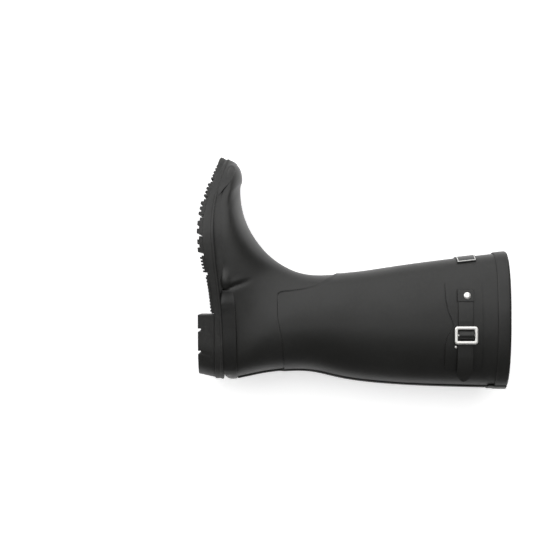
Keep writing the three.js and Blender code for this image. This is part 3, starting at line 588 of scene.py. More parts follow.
def tree(level):
    """The last's skin at one level, ready for rays."""
    if level not in RING_TREES:
        rows = np.arange(0, LAST.shape[0], 2, dtype=float)
        turns = np.arange(0, AROUND, 2) / AROUND
        a, b = np.meshgrid(turns, rows)
        grid = skin(b.ravel(), a.ravel(), np.full(a.size, float(level))).reshape(len(rows), len(turns), 3)
        verts = [Vector(v) for v in grid.reshape(-1, 3)]
        n = len(turns)
        faces = [(r * n + c, r * n + (c + 1) % n, (r + 1) * n + (c + 1) % n, (r + 1) * n + c)
                 for r in range(len(rows) - 1) for c in range(n)]
        RING_TREES[level] = BVHTree.FromPolygons(verts, faces)
    return RING_TREES[level]


def cast(level, starts, direction):
    """Where rays in the (f, y, z) frame first meet the last's skin at a level."""
    way = Vector(direction)
    found = np.empty(starts.shape)
    for k, start in enumerate(starts):
        place, _, _, _ = tree(level).ray_cast(Vector(start) - way * OUTSIDE, way)
        found[k] = place if place is not None else (np.nan,) * 3
    return found


def resample(line, count):
    """Points at equal distances along a polyline."""
    line = np.asarray(line, float)
    steps = np.concatenate([[0], np.cumsum(np.hypot(*np.diff(line, axis=0).T))])
    at = np.linspace(0, steps[-1], count)
    return np.stack([np.interp(at, steps, line[:, 0]), np.interp(at, steps, line[:, 1])], axis=-1)


# %% Sheets laid round the heel
SAMPLES = 90             # heights read on each column


def cast_mix(starts, direction, low_level, high_level, share):
    """Points between two levels of the last, so a sheet can step over an edge below it."""
    low, high = cast(low_level, starts, direction), cast(high_level, starts, direction)
    return low + (high - low) * share[:, None]


def round_end(centre_f, centre_y, reach_f, arc, straight):
    """Rays in plan: along one side, round an end, and back along the other side."""
    rays = []
    facing = -1 if reach_f > centre_f else 1
    for f in np.linspace(reach_f, centre_f, straight, endpoint=False):
        rays.append(((f, centre_y), (0.0, 1.0)))
    for turn in np.linspace(0, math.pi, arc):
        rays.append(((centre_f, centre_y), (facing * math.sin(turn), math.cos(turn))))
    for f in np.linspace(centre_f, reach_f, straight + 1)[1:]:
        rays.append(((f, centre_y), (0.0, -1.0)))
    return rays


def wrapped(name, rays, low, top, level, rows, wall, z_reach):
    """A sheet whose columns stand on plan rays and whose edges follow lines of height."""
    heights = np.linspace(*z_reach, SAMPLES)
    grid = []
    for (f0, y0), (df, dy) in rays:
        far_f, far_y = f0 + df * OUTSIDE, y0 + dy * OUTSIDE
        starts = np.stack([np.full(SAMPLES, far_f), np.full(SAMPLES, far_y), heights], -1)
        inward = Vector((-df, -dy, 0))
        column = np.array([(h[:] if h else (np.nan,) * 3) for h in
                           (tree(level).ray_cast(Vector(s), inward)[0] for s in starts)])
        good = ~np.isnan(column[:, 0])
        line, z = column[good], heights[good]
        reach = np.hypot(line[:, 0] - f0, line[:, 1] - y0)
        widest = int(np.argmax(reach))
        under = np.arange(len(z)) < widest
        walled = np.where(under, reach[widest] - 0.004 * (z[widest] - z) ** 2, reach)
        # The free ends lie down into the vamp.
        fade = ease(line[:, 0], 94, 111)
        reach = walled + (reach - walled) * 0.3 * fade - 1.5 * fade
        line = np.stack([f0 + df * reach, y0 + dy * reach], -1)
        first = float(low(line[widest, 0]))
        last = np.interp(0, z - top(line[:, 0]), z)
        want = np.linspace(first, max(last, first + 0.2), rows + 1)
        grid.append(np.stack([np.interp(want, z, line[:, 0]), np.interp(want, z, line[:, 1]), want], -1))
    grid = np.array(grid)

    def place(a, b, extra):
        i = np.rint(a * (len(rays) - 1)).astype(int)
        points = grid[i, np.rint(b * rows).astype(int)]
        away = np.array([rays[k][1] for k in i])
        return points + extra * np.stack([away[:, 0], away[:, 1], 0 * i], -1)
    return thicken(drape(name, len(rays) - 1, rows, place), wall)


PATCH_TOP = height_line([(-40, 47.6), (0, 47.6), (40, 47.6), (80, 46.8), (100, 45.4), (112, 43.2), (140, 38)])
HEEL_RAYS = round_end(44, 0, 112, 64, 34)[::-1]
heel_patch = wrapped("heel_patch_sheet", HEEL_RAYS, lambda f: seat(f) - 0.6, PATCH_TOP,
                     level=1.6, rows=20, wall=1.3, z_reach=(25, 50))
round_edges(heel_patch, 0.5, 3)
stand_for(shade(heel_patch), "boot", "rubber_gloss", "heel_patch")

# %% Back strip
STRIP_FOOT, STRIP_TOP, STRIP_WIDE = 48.6, BOOT_HEIGHT - BINDING_DROP - FIT, 22.0


def strip_place(a, b, extra):
    z = STRIP_FOOT + (STRIP_TOP - STRIP_FOOT) * b
    starts = np.stack([np.full_like(a, MID_LEG), STRIP_WIDE * (a - 0.5), z], -1)
    level = cast_mix(starts, (1, 0, 0), 1.7, OVER_LEG + OVERLAY, ease(z, 100, 108))
    return level + extra * np.array([-1.0, 0, 0])


back_strip = round_edges(thicken(drape("back_strip_sheet", 22, 240, strip_place), 1.2), 0.45, 3)
stand_for(shade(back_strip), "boot", "rubber_black", "back_strip")

# %% Strap panel
PANEL_LOW = [(14.5, 308), (15.2, 305.6), (17, 304.2), (30, 303.8), (43, 303.8), (54, 306), (64.5, 312.2),
             (69.8, 313.6), (75, 312.2), (86, 307.6), (98.6, 304.8), (112, 303.9), (121, 304),
             (122.8, 304.9), (123.5, 307)]
PANEL_HIGH = [(14.5, 344), (15.2, 346.8), (17, 348.5), (40, 349.5), (100, 349.5), (121, 348.5),
              (122.8, 346.8), (123.5, 344)]
PANEL_LEVEL = OVER_LEG + OVERLAY + 0.55


def panel_place(a, b, extra):
    back, front = PANEL_LOW[0][0], PANEL_LOW[-1][0]
    f = back + (front - back) * (1 - np.cos(math.pi * a)) / 2
    low = np.interp(f, *np.array(PANEL_LOW).T)
    high = np.interp(f, *np.array(PANEL_HIGH).T)
    starts = np.stack([f, np.zeros_like(f), low + (high - low) * b], -1)
    return cast(PANEL_LEVEL, starts, (0, 1, 0)) + extra * np.array([0, -1.0, 0])


panel = round_edges(thicken(drape("strap_panel_sheet", 96, 30, panel_place), 2.0), 0.6, 3)
stand_for(shade(panel), "boot", "rubber_black", "strap_panel")

# %% Badge
# A moulded plate on the front of the leg: a black field with a raised pale rim and nothing on it.
BADGE_WIDE, BADGE_TALL, BADGE_Z = 42.0, 24.0, 333.4
BADGE_CORNER, RIM_MARGIN = 1.5, 1.4


def badge_place(a, b, extra):
    y = BADGE_WIDE * (a - 0.5)
    past = np.maximum(np.abs(y) - BADGE_WIDE / 2 + BADGE_CORNER, 0)
    corner = BADGE_CORNER - np.sqrt(np.maximum(BADGE_CORNER ** 2 - past ** 2, 0))
    z = BADGE_Z + (BADGE_TALL - 2 * corner) * (b - 0.5)
    starts = np.stack([np.full_like(a, MID_LEG), y, z], -1)
    return cast(OVER_LEG + OVERLAY, starts, (-1, 0, 0)) + extra * np.array([1.0, 0, 0])


badge = round_edges(thicken(drape("badge_plate_sheet", 100, 54, badge_place), 1.2), 0.3, 2)
stand_for(shade(badge), "boot", "badge_plate", "badge")


def badge_rim_place(a, b, extra):
    """A thin raised line just inside the badge's edge."""
    turn = 2 * math.pi * a
    c, n = np.cos(turn), np.sin(turn)
    spin = 2 * math.pi * b
    inward = np.cos(spin) * 0.42
    y = np.clip(1.6 * c, -1, 1) * (BADGE_WIDE / 2 - RIM_MARGIN - inward)
    z = BADGE_Z + np.clip(1.6 * n, -1, 1) * (BADGE_TALL / 2 - RIM_MARGIN - inward)
    starts = np.stack([np.full_like(a, MID_LEG), y, z], -1)
    lift = 0.05 + 0.22 * np.sin(spin)
    return cast(OVER_LEG + OVERLAY, starts, (-1, 0, 0)) + lift[:, None] * np.array([1.0, 0, 0])


badge_rim = drape("badge_rim_line", 400, 6, badge_rim_place, loop=True)
face_outward(badge_rim)
stand_for(shade(badge_rim, 60), "boot", "badge_plate")

# %% [markdown]
# ## Sole and heel
#
# The outsole is one loop of points: round the boot's outline one way, and over a profile the other
# way, from the middle of the tread, round the wall and its bead, and in under the foot. The lugs
# are bars in six groups, shallow and fine towards the toe, and the heel is a separate block.

# %% Outline of the sole
EDGE_POINTS = [
    (1, .12), (.98, -.06), (.945, -.24), (.89, -.47), (.82, -.69), (.74, -.86), (.655, -.96), (.57, -.95),
    (.45, -.86), (.33, -.76), (.215, -.70), (.125, -.655), (.05, -.51), (.011, -.26), (.004, 0), (.011, .26),
    (.05, .51), (.125, .65), (.215, .67), (.325, .67), (.435, .73), (.525, .85), (.615, .97), (.72, 1.02),
    (.808, 1.01), (.88, .93), (.934, .77), (.974, .50)]
TREAD_LINE = height_line([
    (83, 19.3), (112, 16.5), (131, 13), (150, 9), (170, 6.8), (190, 6.5), (205, 8), (222, 11),
    (237, 15.2), (252, 19.5), (264, 23.6), (290, 35)])


def tread(f):
    return np.where(np.asarray(f) < 84, HEEL_HEIGHT, TREAD_LINE(f))


def outline(count):
    """Evenly spaced points round the sole, and the outward way at each."""
    knots = [(f * (FOOT_LENGTH + WELT), y * (BALL_WIDTH / 2 + WELT)) for f, y in EDGE_POINTS]
    line = curve_through(knots[-3:] + knots + knots[:3], 40)[80:-80]
    line = resample(line[:len(knots) * 40 + 1], count + 1)[:-1]
    along = np.roll(line, -1, 0) - np.roll(line, 1, 0)
    along /= np.linalg.norm(along, axis=1, keepdims=True)
    out = np.stack([along[:, 1], -along[:, 0]], -1)
    if np.sum(out * (line - line.mean(0))) < 0:
        out = -out
    return line, out


OUTLINE, OUTWARD = outline(480)
print("outline", OUTLINE.min(0).round(1), OUTLINE.max(0).round(1))

# %% Outsole body
# Inset from the outline, share of the way from tread to seat, and millimetres added to that.
SOLE_PROFILE = [
    (None, 0, 0), (12, 0, 0), (4, 0, 0), (1.3, 0, 0), (0.5, 0, 0.25), (0.12, 0, 0.8), (0.0, 0, 1.6),
    (0.0, 0.45, 0.2), (0.1, 1, -3.2), (0.15, 1, -2.2), (-0.25, 1, -1.6), (-0.6, 1, -0.8), (-0.7, 1, 0.1),
    (-0.45, 1, 0.9), (0.1, 1, 1.35), (0.9, 1, 1.35)]
# How much of the toe's kick forward and down each of those steps takes.
TOE_KICK = [0, 0.3, 0.8, 1, 1, 1, 1, 0.55, 0.12, 0.05]
# The welt then sweeps up to the vamp: share of the gap crossed, and height over the seat.
WELT_PROFILE = [(0.16, 1.3), (0.38, 1.9), (0.58, 3.0), (0.76, 4.7), (0.90, 7.0), (0.98, 9.6), (1.06, 12.0),
                (1.5, 8.0)]
WELT_INSET = 0.9         # where the sweep starts, in from the sole's edge


def gap_to_vamp():
    """How far the vamp stands in from the sole's edge a little over the seat, all round."""
    gaps = np.empty(len(OUTLINE))
    for i, (edge, out) in enumerate(zip(OUTLINE, OUTWARD)):
        start = Vector((*(edge + out * 30), float(seat(edge[0])) + 11.5))
        place = tree(0.1).ray_cast(start, Vector((*-out, 0)))[0]
        gaps[i] = np.hypot(place[0] - edge[0], place[1] - edge[1]) if place else np.nan
    good = ~np.isnan(gaps)
    i = np.arange(len(gaps))
    gaps = np.interp(i, i[good], gaps[good])
    for _ in range(6):
        gaps = (np.roll(gaps, 1) + gaps + np.roll(gaps, -1)) / 3
    return np.clip(gaps, 2.0, 14.0)


GAPS = gap_to_vamp()
print("welt gap", GAPS.min().round(1), GAPS.max().round(1))


def sole_place(a, b, extra):
    i = np.rint(a * len(OUTLINE)).astype(int) % len(OUTLINE)
    steps = len(SOLE_PROFILE) + len(WELT_PROFILE)
    k = np.rint(b * steps).astype(int)
    edge, out = OUTLINE[i], OUTWARD[i]
    middle = np.stack([np.clip(edge[:, 0], 42, 232), np.interp(edge[:, 0], [42, 232], [0, 8])], -1)
    profile = np.array([(0 if inset is None else inset, share, lift) for inset, share, lift in SOLE_PROFILE]
                       + [(0, 1, lift) for _, lift in WELT_PROFILE] + [(0, 1, 2.0)])
    inset, share, lift = profile[k].T
    for n, (part, _) in enumerate(WELT_PROFILE):
        inset = np.where(k == len(SOLE_PROFILE) + n, WELT_INSET + (GAPS[i] - WELT_INSET) * part, inset)
    # The welt stays low under the heel patch, and lower beside the puffy spot.
    sweep = ease(edge[:, 0], 104, 122) * (1 - 0.5 * np.exp(-((edge[:, 0] - PUFF_F) / 12) ** 2))
    lift = np.where(k >= len(SOLE_PROFILE), 1.1 + (lift - 1.1) * sweep, lift)
    axis = (k == 0) | (k == steps)
    point = np.where(axis[:, None], middle, edge - out * inset[:, None])
    low, high = tread(point[:, 0]), seat(point[:, 0])
    # The toe's lower edge stands a little ahead of the wall above it.
    kick = np.interp(k, np.arange(len(TOE_KICK)), TOE_KICK, right=0) * ease(edge[:, 0], 254, 276)
    point = point + out * 3.0 * kick[:, None]
    return np.column_stack([point, low + (high - low) * share + lift - 3.2 * kick])


sole = drape("outsole_body", len(OUTLINE), len(SOLE_PROFILE) + len(WELT_PROFILE), sole_place, loop=True)
face_outward(sole)
print("sole faces", len(sole.data.polygons))


# %% Lugs and waist ribs
# Back, front, drop under the tread, fins, and how deep the grooves between the fins are.
TO_EDGE = 99.0           # a slab's side that follows the sole's edge
LUG_GROUPS = [(250, 275.5, 3.9, 6, 1.7), (227.5, 246.5, 5.4, 4, 2.8), (204.5, 224, 6.6, 3, 3.0),
              (181.5, 201, 6.6, 2, 2.6), (158.5, 178, 6.5, 2, 2.4), (134, 154.5, 5.0, 5, 2.4)]


def side_of_sole(f, side):
    """Sideways place of the sole's edge."""
    half = OUTWARD[:, 1] * side > 0
    line = OUTLINE[half]
    line = line[np.argsort(line[:, 0])]
    return np.interp(f, line[:, 0], line[:, 1])


def slab(name, f0, f1, y0, y1, bottom, top, bevel, inset=1.1):
    """A cube whose ends follow the sole's edge and whose top and bottom follow given heights."""
    deselect()
    bpy.ops.mesh.primitive_cube_add(size=1)
    obj = bpy.context.object
    obj.name = obj.data.name = name
    for v in obj.data.vertices:
        f = f0 if v.co.x < 0 else f1
        y = y0 if v.co.y < 0 else y1
        if abs(y) == TO_EDGE:
            y = float(side_of_sole(f, np.sign(y)) - np.sign(y) * inset)
        z = bottom(f) if v.co.z < 0 else top(f)
        v.co = in_frame([f, y, z])
    face_outward(obj)
    return round_edges(obj, bevel, 1)


lugs = []
for back, front, drop, fins, depth in LUG_GROUPS:
    pitch = (front - back) / fins
    for y0, y1 in ((-TO_EDGE, 2.0), (6.0, TO_EDGE)):
        for n in range(fins):
            start = back + n * pitch
            lugs.append(slab("lug_base", start, start + pitch + 0.2, y0, y1,
                             lambda f: float(tread(f)) - drop + depth,
                             lambda f: float(tread(f)) + 1.0, 0.2))
            lugs.append(slab("lug_fin", start + 0.2, start + pitch * 0.62, y0, y1,
                             lambda f: float(tread(f)) - drop + 0.25 * (n % 2),
                             lambda f: float(tread(f)) - drop + depth + 0.5, 0.35))
lugs.append(slab("waist_base", 84, 131, -TO_EDGE, TO_EDGE, lambda f: float(tread(f)) - 2.0,
                 lambda f: float(tread(f)) + 1.0, 0.4, 0.8))
for n in range(11):
    start = 86 + n * 4.0
    lugs.append(slab("waist_rib", start, start + 2.2, -TO_EDGE, TO_EDGE, lambda f: float(tread(f)) - 3.3,
                     lambda f: float(tread(f)) - 1.0, 0.3, 1.2))
only(sole)
for lug in lugs:
    lug.select_set(True)
bpy.ops.object.join()
stand_for(shade(sole, 30), "boot", "rubber_sole", "outsole")

# %% Toe bumper
# It is flush with the sole's edge, and its top line climbs towards the toe.
CAP_TOP = height_line([
    (204, 20.6), (217, 22.2), (229, 26.6), (237, 31.7), (243, 37), (250, 41.5), (261, 45), (269, 47),
    (280, 49)])
CAP_RAYS = round_end(236, 8, 206, 96, 24)
CAP_ROWS = 26


def edge_reach(start, way):
    """How far the sole's edge lies along a plan ray."""
    start, way = np.array(start), np.array(way)
    best = 0.0
    for p, q in zip(OUTLINE, np.roll(OUTLINE, -1, 0)):
        side = q - p
        cross = way[0] * side[1] - way[1] * side[0]
        if abs(cross) < 1e-9:
            continue
        gap = p - start
        t = (gap[0] * side[1] - gap[1] * side[0]) / cross
        u = (gap[0] * way[1] - gap[1] * way[0]) / cross
        if t > 0 and 0 <= u <= 1:
            best = max(best, t)
    return best


def cap_column(start, way):
    """One column of the bumper: up the sole's edge, then leaning in to its top line."""
    heights = np.linspace(18, 52, 120)
    begin = np.array([[start[0] + way[0] * OUTSIDE, start[1] + way[1] * OUTSIDE, z] for z in heights])
    hits = [tree(1.5).ray_cast(Vector(p), Vector((-way[0], -way[1], 0)))[0] for p in begin]
    good = np.array([h is not None for h in hits])
    reach = np.array([np.hypot(h[0] - start[0], h[1] - start[1]) for h in hits if h is not None])
    z = heights[good]
    f = start[0] + way[0] * reach
    top = float(np.interp(0, z - CAP_TOP(f), z))
    edge = edge_reach(start, way)
    edge_f = start[0] + way[0] * edge
    bottom = float(tread(edge_f)) + 1.6
    top = max(top, bottom + 0.8)
    want = np.linspace(bottom, top, CAP_ROWS + 1)
    share = (want - bottom) / (top - bottom)
    skin_reach = np.interp(want, z, reach)
    top_reach = skin_reach[-1]
    proud = -0.5 + 0.8 * float(ease(edge_f, 206, 234))
    rise = top_reach + (edge + proud - top_reach) * (1 - share ** 2.6)
    held = np.minimum(skin_reach, edge + proud)
    # The larger of the two reaches, with the corner between them rounded.
    out = (rise + held) / 2 + np.sqrt(((rise - held) / 2) ** 2 + 0.09)
    return np.stack([start[0] + way[0] * out, start[1] + way[1] * out, want], -1)


CAP_GRID = np.array([cap_column(*ray) for ray in CAP_RAYS])
print("bumper", CAP_GRID.reshape(-1, 3).min(0).round(1), CAP_GRID.reshape(-1, 3).max(0).round(1))


def cap_place(a, b, extra):
    i = np.rint(a * (len(CAP_RAYS) - 1)).astype(int)
    way = np.array([CAP_RAYS[k][1] for k in i])
    return CAP_GRID[i, np.rint(b * CAP_ROWS).astype(int)] + extra * np.column_stack([way, 0 * i])


toe_cap = thicken(drape("toe_cap_sheet", len(CAP_RAYS) - 1, CAP_ROWS, cap_place), 1.3)
round_edges(toe_cap, 0.6, 3)
stand_for(shade(toe_cap), "boot", "rubber_gloss", "toe_cap")

# %% Heel block
HEEL_INSET, FOOT_LONG, FOOT_WIDE = 2.2, 0.945, 0.965
NOTCHES, NOTCH_HALF, NOTCH_TOP = (63.0, 35.5), 2.1, 3.9


def heel_block():
    """A solid pulled up from the floor, smaller at its foot, with two notches across."""
    ring_points = OUTLINE - OUTWARD * HEEL_INSET
    inside = ring_points[:, 0] < HEEL_LENGTH
    first = int(np.nonzero(inside & ~np.roll(inside, 1))[0][0])
    line = np.roll(ring_points, -first, 0)[:int(inside.sum())]
    deselect()
    bpy.ops.mesh.primitive_circle_add(vertices=len(line), radius=1, fill_type="NGON")
    obj = bpy.context.object
    obj.name = obj.data.name = "heel_block_body"
    for v, (f, y) in zip(obj.data.vertices, line):
        f = HEEL_LENGTH - (HEEL_LENGTH - f) * FOOT_LONG - 0.5
        v.co = in_frame([f, y * FOOT_WIDE, 0.05])
    rise = (HEEL_HEIGHT - 0.35) * MM

    def pull_up():
        bpy.ops.mesh.extrude_region_move(TRANSFORM_OT_translate={"value": (0, 0, rise)})
        bpy.ops.transform.resize(value=(1 / FOOT_LONG, 1 / FOOT_WIDE, 1), center_override=tuple(
            in_frame([HEEL_LENGTH, 0, HEEL_HEIGHT])))
    in_edit(obj, pull_up)
    face_outward(obj)
    for f in NOTCHES:
        cutter = slab("notch", f - NOTCH_HALF, f + NOTCH_HALF, -80, 80,
                      lambda _: -3.0, lambda _: NOTCH_TOP, 0.6)
        add_modifier(obj, "BOOLEAN", object=cutter, operation="DIFFERENCE", solver="EXACT")
        bpy.data.objects.remove(cutter)
    return round_edges(obj, 0.7, 2, 30)


stand_for(shade(heel_block(), 30), "boot", "rubber_sole", "heel_block")

# %% [markdown]
# ## Rim binding
#
# A soft tape folded over the rim: one closed profile swept round the mouth. At the back its
# end laps over its start, and a short tab hangs from the lap over the back strip.

# %% Binding and its lap
LOW_Z, HIGH_Z = BOOT_HEIGHT - 25, BOOT_HEIGHT - 1
LOW_RIM = rows_at(lambda p: p[:, 2] - LOW_Z)
HIGH_RIM = rows_at(lambda p: p[:, 2] - HIGH_Z)
LAP_FOOT, LAP_TALL, LAP_TURN = 360.5, 23.5, 0.072


def at_rim(turn, z, level):
    """Points near the mouth, at a share of the way round, a height and a level."""
    turn = np.asarray(turn, float) % 1
    low, high = np.interp(turn, COLUMNS, LOW_RIM), np.interp(turn, COLUMNS, HIGH_RIM)
    point = skin(low + (high - low) * (z - LOW_Z) / (HIGH_Z - LOW_Z), turn, level)
    point[..., 2] = z
    return point


# Level over the last and height over the binding's outer edge, round the tape.
BINDING_PROFILE = [
    (1.7, 0.2), (2.4, 0.0), (2.95, 0.7), (3.05, 2.0), (3.0, 8.0), (3.0, 13.0), (2.7, 15.0), (1.9, 16.1),
    (0.6, 16.5), (-2.2, 16.5), (-4.0, 16.0), (-5.0, 14.9), (-5.3, 13.4), (-5.3, 6.0), (-5.0, 4.3),
    (-4.4, 4.2), (-4.3, 6.0), (-4.3, 14.0), (-3.0, 14.9), (0.8, 14.9), (1.6, 14.0), (1.6, 6.0)]


def binding_place(a, b, extra):
    profile = np.array(BINDING_PROFILE + BINDING_PROFILE[:1])
    k = b * (len(profile) - 1)
    level, rise = (np.interp(k, np.arange(len(profile)), profile[:, n]) for n in (0, 1))
    wave = 0.12 * np.sin(a * 2 * math.pi * 9 + 1) * (level > 2)
    return at_rim(a, BOOT_HEIGHT - BINDING_DROP + rise, level + wave)


binding = drape("rim_binding", AROUND, len(BINDING_PROFILE), binding_place, loop=True)
face_outward(binding)


def lap_place(a, b, extra):
    z = LAP_FOOT + LAP_TALL * b
    turn = 0.5 + (a - 0.5) * LAP_TURN
    level = 3.6 + 0.5 * ease(z, 366, 370)
    return at_rim(turn, z, level) + extra * np.array([-1.0, 0, 0])


lap = round_edges(thicken(drape("rim_lap", 24, 30, lap_place), 1.1), 0.4, 3)
only(binding)
lap.select_set(True)
bpy.ops.object.join()
stand_for(shade(binding), "boot", "rubber_black", "top_binding")

# %% [markdown]
# ## Strap, buckle and rivet
#
# The strap is riveted under a tab in front, runs back under the buckle's frame, humps over its
# centre bar and comes out behind as the tail. Each ribbon is a grid whose long way follows a
# path of (forward distance, level over the last).

# %% Ribbons
STRAP_LOW, STRAP_HIGH = STRAP_HEIGHT - STRAP_WIDTH / 2, STRAP_HEIGHT + STRAP_WIDTH / 2
FAR_LEVEL = 12
BAR_PLACE = (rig.box("buckle_bar")[0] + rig.box("buckle_bar")[1]) / 2
FRAME_CENTRE = ORIGIN_X - BAR_PLACE.x / MM


def on_leg(f, level, z=STRAP_HEIGHT):
    """Side points at a forward distance and a level, at one height."""
    start = np.array([[f, 0.0, z]])
    low, high = cast(0, start, (0, 1, 0))[0], cast(FAR_LEVEL, start, (0, 1, 0))[0]
    return low + (high - low) * level / FAR_LEVEL


def ribbon(name, path, wall, edges, cols, rows, crown):
    """A strip along a path; `edges` gives its low and high side for each forward distance."""
    line = curve_through([on_leg(f, level)[:2] for f, level in path], 24)
    line = resample(line, cols + 1)

    def place(a, b, extra):
        i = np.rint(a * cols).astype(int)
        f, y = line[i, 0], line[i, 1]
        low, high = edges(f)
        z = low + (high - low) * b
        return np.stack([f, y - crown * (1 - (2 * b - 1) ** 2) - extra, z], -1)
    sheet = drape(name, cols, rows, place)
    return round_edges(thicken(sheet, wall), 0.4, 3)


def even(low, high):
    return lambda f: (np.full_like(f, low), np.full_like(f, high))


STRAP_LEVEL, CREST = 5.7, 13.3
CLIMB = CREST - STRAP_LEVEL
# (distance from the frame's middle, share of the climb to the crest)
HUMP = [(8.8, 0), (6.5, 0.14), (3.8, 0.76), (0, 1), (-3.8, 0.76), (-6.5, 0.14), (-8.8, 0)]
hump = [(110, 4.65), (102, 4.65), (90, 5.4), (76, STRAP_LEVEL)]
hump += [(FRAME_CENTRE + ahead, STRAP_LEVEL + share * CLIMB) for ahead, share in HUMP]
hump += [(46.8, STRAP_LEVEL + 0.1)]
strap = ribbon("strap_ribbon", hump, 1.5, even(STRAP_LOW, STRAP_HIGH), 170, 16, 0.15)
stand_for(shade(strap), "boot", "rubber_black", "strap")


# The tail's two edges: forward distance, and height over the strap's own edge.
TAIL_LOW = np.array([
    (-1.0, 7.65), (-0.2, 5.6), (1.8, 3.4), (5.0, 0.9), (8.5, -0.5), (12.0, -0.8), (38, -0.4), (60, 0)])
TAIL_HIGH = np.array([
    (-1.0, -9.65), (-0.2, -7.05), (2.2, -4.6), (5.6, -2.4), (9.0, -0.8), (12.0, -0.3), (60, 0)])


def tail_edges(f):
    """The tail widens a little past the buckle and ends in a blunt point."""
    return STRAP_LOW + np.interp(f, *TAIL_LOW.T), STRAP_HIGH + np.interp(f, *TAIL_HIGH.T)


tail_path = [(45.5, 6.0), (38, 6.4), (28, 7.5), (17, 8.8), (9, 9.6), (-1.0, 10.1)]
tail = ribbon("strap_tail_ribbon", tail_path, 1.5, tail_edges, 110, 16, 0.25)
stand_for(shade(tail), "tail", "rubber_black", "strap_tail")

tab_path = [(113.6, 3.4), (113.5, 4.6), (112.8, 5.9), (111.4, 6.3), (106, 6.3), (99, 6.5)]
tab = ribbon("strap_tab_sheet", tab_path, 1.1, even(STRAP_LOW - 0.9, STRAP_HIGH + 0.6), 60, 16, 0.1)
stand_for(shade(tab), "boot", "rubber_black", "strap_tab")

# %% Buckle frame
FRAME_SIZE, FRAME_WIDE, FRAME_WALL, FRAME_DEEP, FRAME_CORNER = 21.8, 28.4, 4.1, 2.4, 1.2


def frame_place(a, b, extra):
    """A rounded bar, wider than it is deep, bent round a rounded rectangle."""
    long, wide, corner = FRAME_SIZE - FRAME_WALL, FRAME_WIDE - FRAME_WALL, FRAME_CORNER
    # Straight runs and quarter turns, walked at an even pace.
    legs = [long - 2 * corner, math.pi / 2 * corner, wide - 2 * corner, math.pi / 2 * corner] * 2
    ends = np.concatenate([[0], np.cumsum(legs)])
    walked = a * ends[-1]
    k = np.clip(np.searchsorted(ends, walked, side="right") - 1, 0, 7)
    along = (walked - ends[k]) / np.array(legs)[k]
    x0, z0 = long / 2 - corner, wide / 2 - corner
    corners = np.array([(-x0, -z0), (x0, -z0), (x0, z0), (-x0, z0)])
    centre = corners[[0, 1, 1, 2, 2, 3, 3, 0]]
    target = corners[[1, 1, 2, 2, 3, 3, 0, 0]]
    heading = np.array([-90, -90, 0, 0, 90, 90, 180, 180.0])[k] + np.where(k % 2 == 1, 90 * along, 0)
    way = np.stack([np.cos(np.radians(heading)), np.sin(np.radians(heading))], -1)
    middle = centre[k] + (target[k] - centre[k]) * np.where(k % 2 == 0, along, 0)[:, None] + way * corner
    spin = 2 * math.pi * b
    across = np.sign(np.cos(spin)) * np.abs(np.cos(spin)) ** 0.7 * FRAME_WALL / 2
    deep = np.sign(np.sin(spin)) * np.abs(np.sin(spin)) ** 0.7 * FRAME_DEEP / 2
    flat = middle + way * across[:, None]
    f = FRAME_CENTRE + flat[:, 0]
    y = BAR_PLACE.y / MM - ORIGIN_Y - deep
    return np.stack([f, y, STRAP_HEIGHT + flat[:, 1]], -1)


frame_bar = drape("buckle_frame_ring", 112, 20, frame_place, loop=True)
face_outward(frame_bar)
stand_for(shade(frame_bar, 50), "buckle", "metal_nickel", "buckle_frame")

# %% Centre bar, rivet and stud
deselect()
bpy.ops.mesh.primitive_cylinder_add(vertices=32, radius=1.0 * MM, depth=(FRAME_WIDE - 3.6) * MM)
bar = bpy.context.object
bar.name = bar.data.name = "buckle_centre_bar"
in_edit(bar, lambda: bpy.ops.transform.translate(value=tuple(BAR_PLACE)))
stand_for(shade(round_edges(bar, 0.2)), "buckle", "metal_nickel", "buckle_bar")


def turned(name, f, z, profile, steps=48):
    """A shape of revolution standing on the leg's side; profile is (radius, level)."""
    here = on_leg(f, 0, z)
    out = on_leg(f, 12, z) - here
    near = [on_leg(f + d, 0, z) for d in (-4, 4)]
    along = near[1] - near[0]
    along /= np.linalg.norm(along)
    up = np.array([0, 0, 1.0])
    away = np.cross(along, up)
    away *= np.sign(away[1]) * -1
    radius, level = np.array(profile).T

    def place(a, b, extra):
        k = np.rint(b * (len(profile) - 1)).astype(int)
        spin = 2 * math.pi * a
        ring_way = np.cos(spin)[:, None] * along + np.sin(spin)[:, None] * up
        return here + ring_way * radius[k][:, None] + away * level[k][:, None]
    obj = drape(name, steps, len(profile) - 1, place, loop=True)
    return face_outward(obj)


# Each head is a list of (radius, height over its seat), from the shank up and in to the middle.
RIVET_SEAT, STUD_SEAT = 6.7, 4.6
RIVET_HEAD = [(1.8, 0), (3.9, 0), (4.25, 0.12), (4.3, 0.35), (4.1, 0.6), (3.6, 0.95), (2.9, 1.3), (2.0, 1.55),
              (1.2, 1.65), (0.95, 1.55), (0.7, 1.5), (0, 1.5)]
STUD_HEAD = [(0, -0.6), (1.6, -0.6), (1.6, 0.3), (1.4, 0.75), (0.9, 1.05), (0, 1.2)]
rivet_profile = [(0, -1.8), (1.8, -1.8)] + [(radius, RIVET_SEAT + rise) for radius, rise in RIVET_HEAD]
rivet = turned("rivet_head", 104.7, STRAP_HEIGHT + 1.5, rivet_profile)
stand_for(shade(rivet, 40), "boot", "metal_nickel", "anchor_rivet")

stud_profile = [(radius, STUD_SEAT + rise) for radius, rise in STUD_HEAD]
stud = turned("chape_stud_head", 43.5, STRAP_LOW - 2.7, stud_profile, 24)
stand_for(shade(stud, 40), "boot", "metal_nickel", "chape_stud")

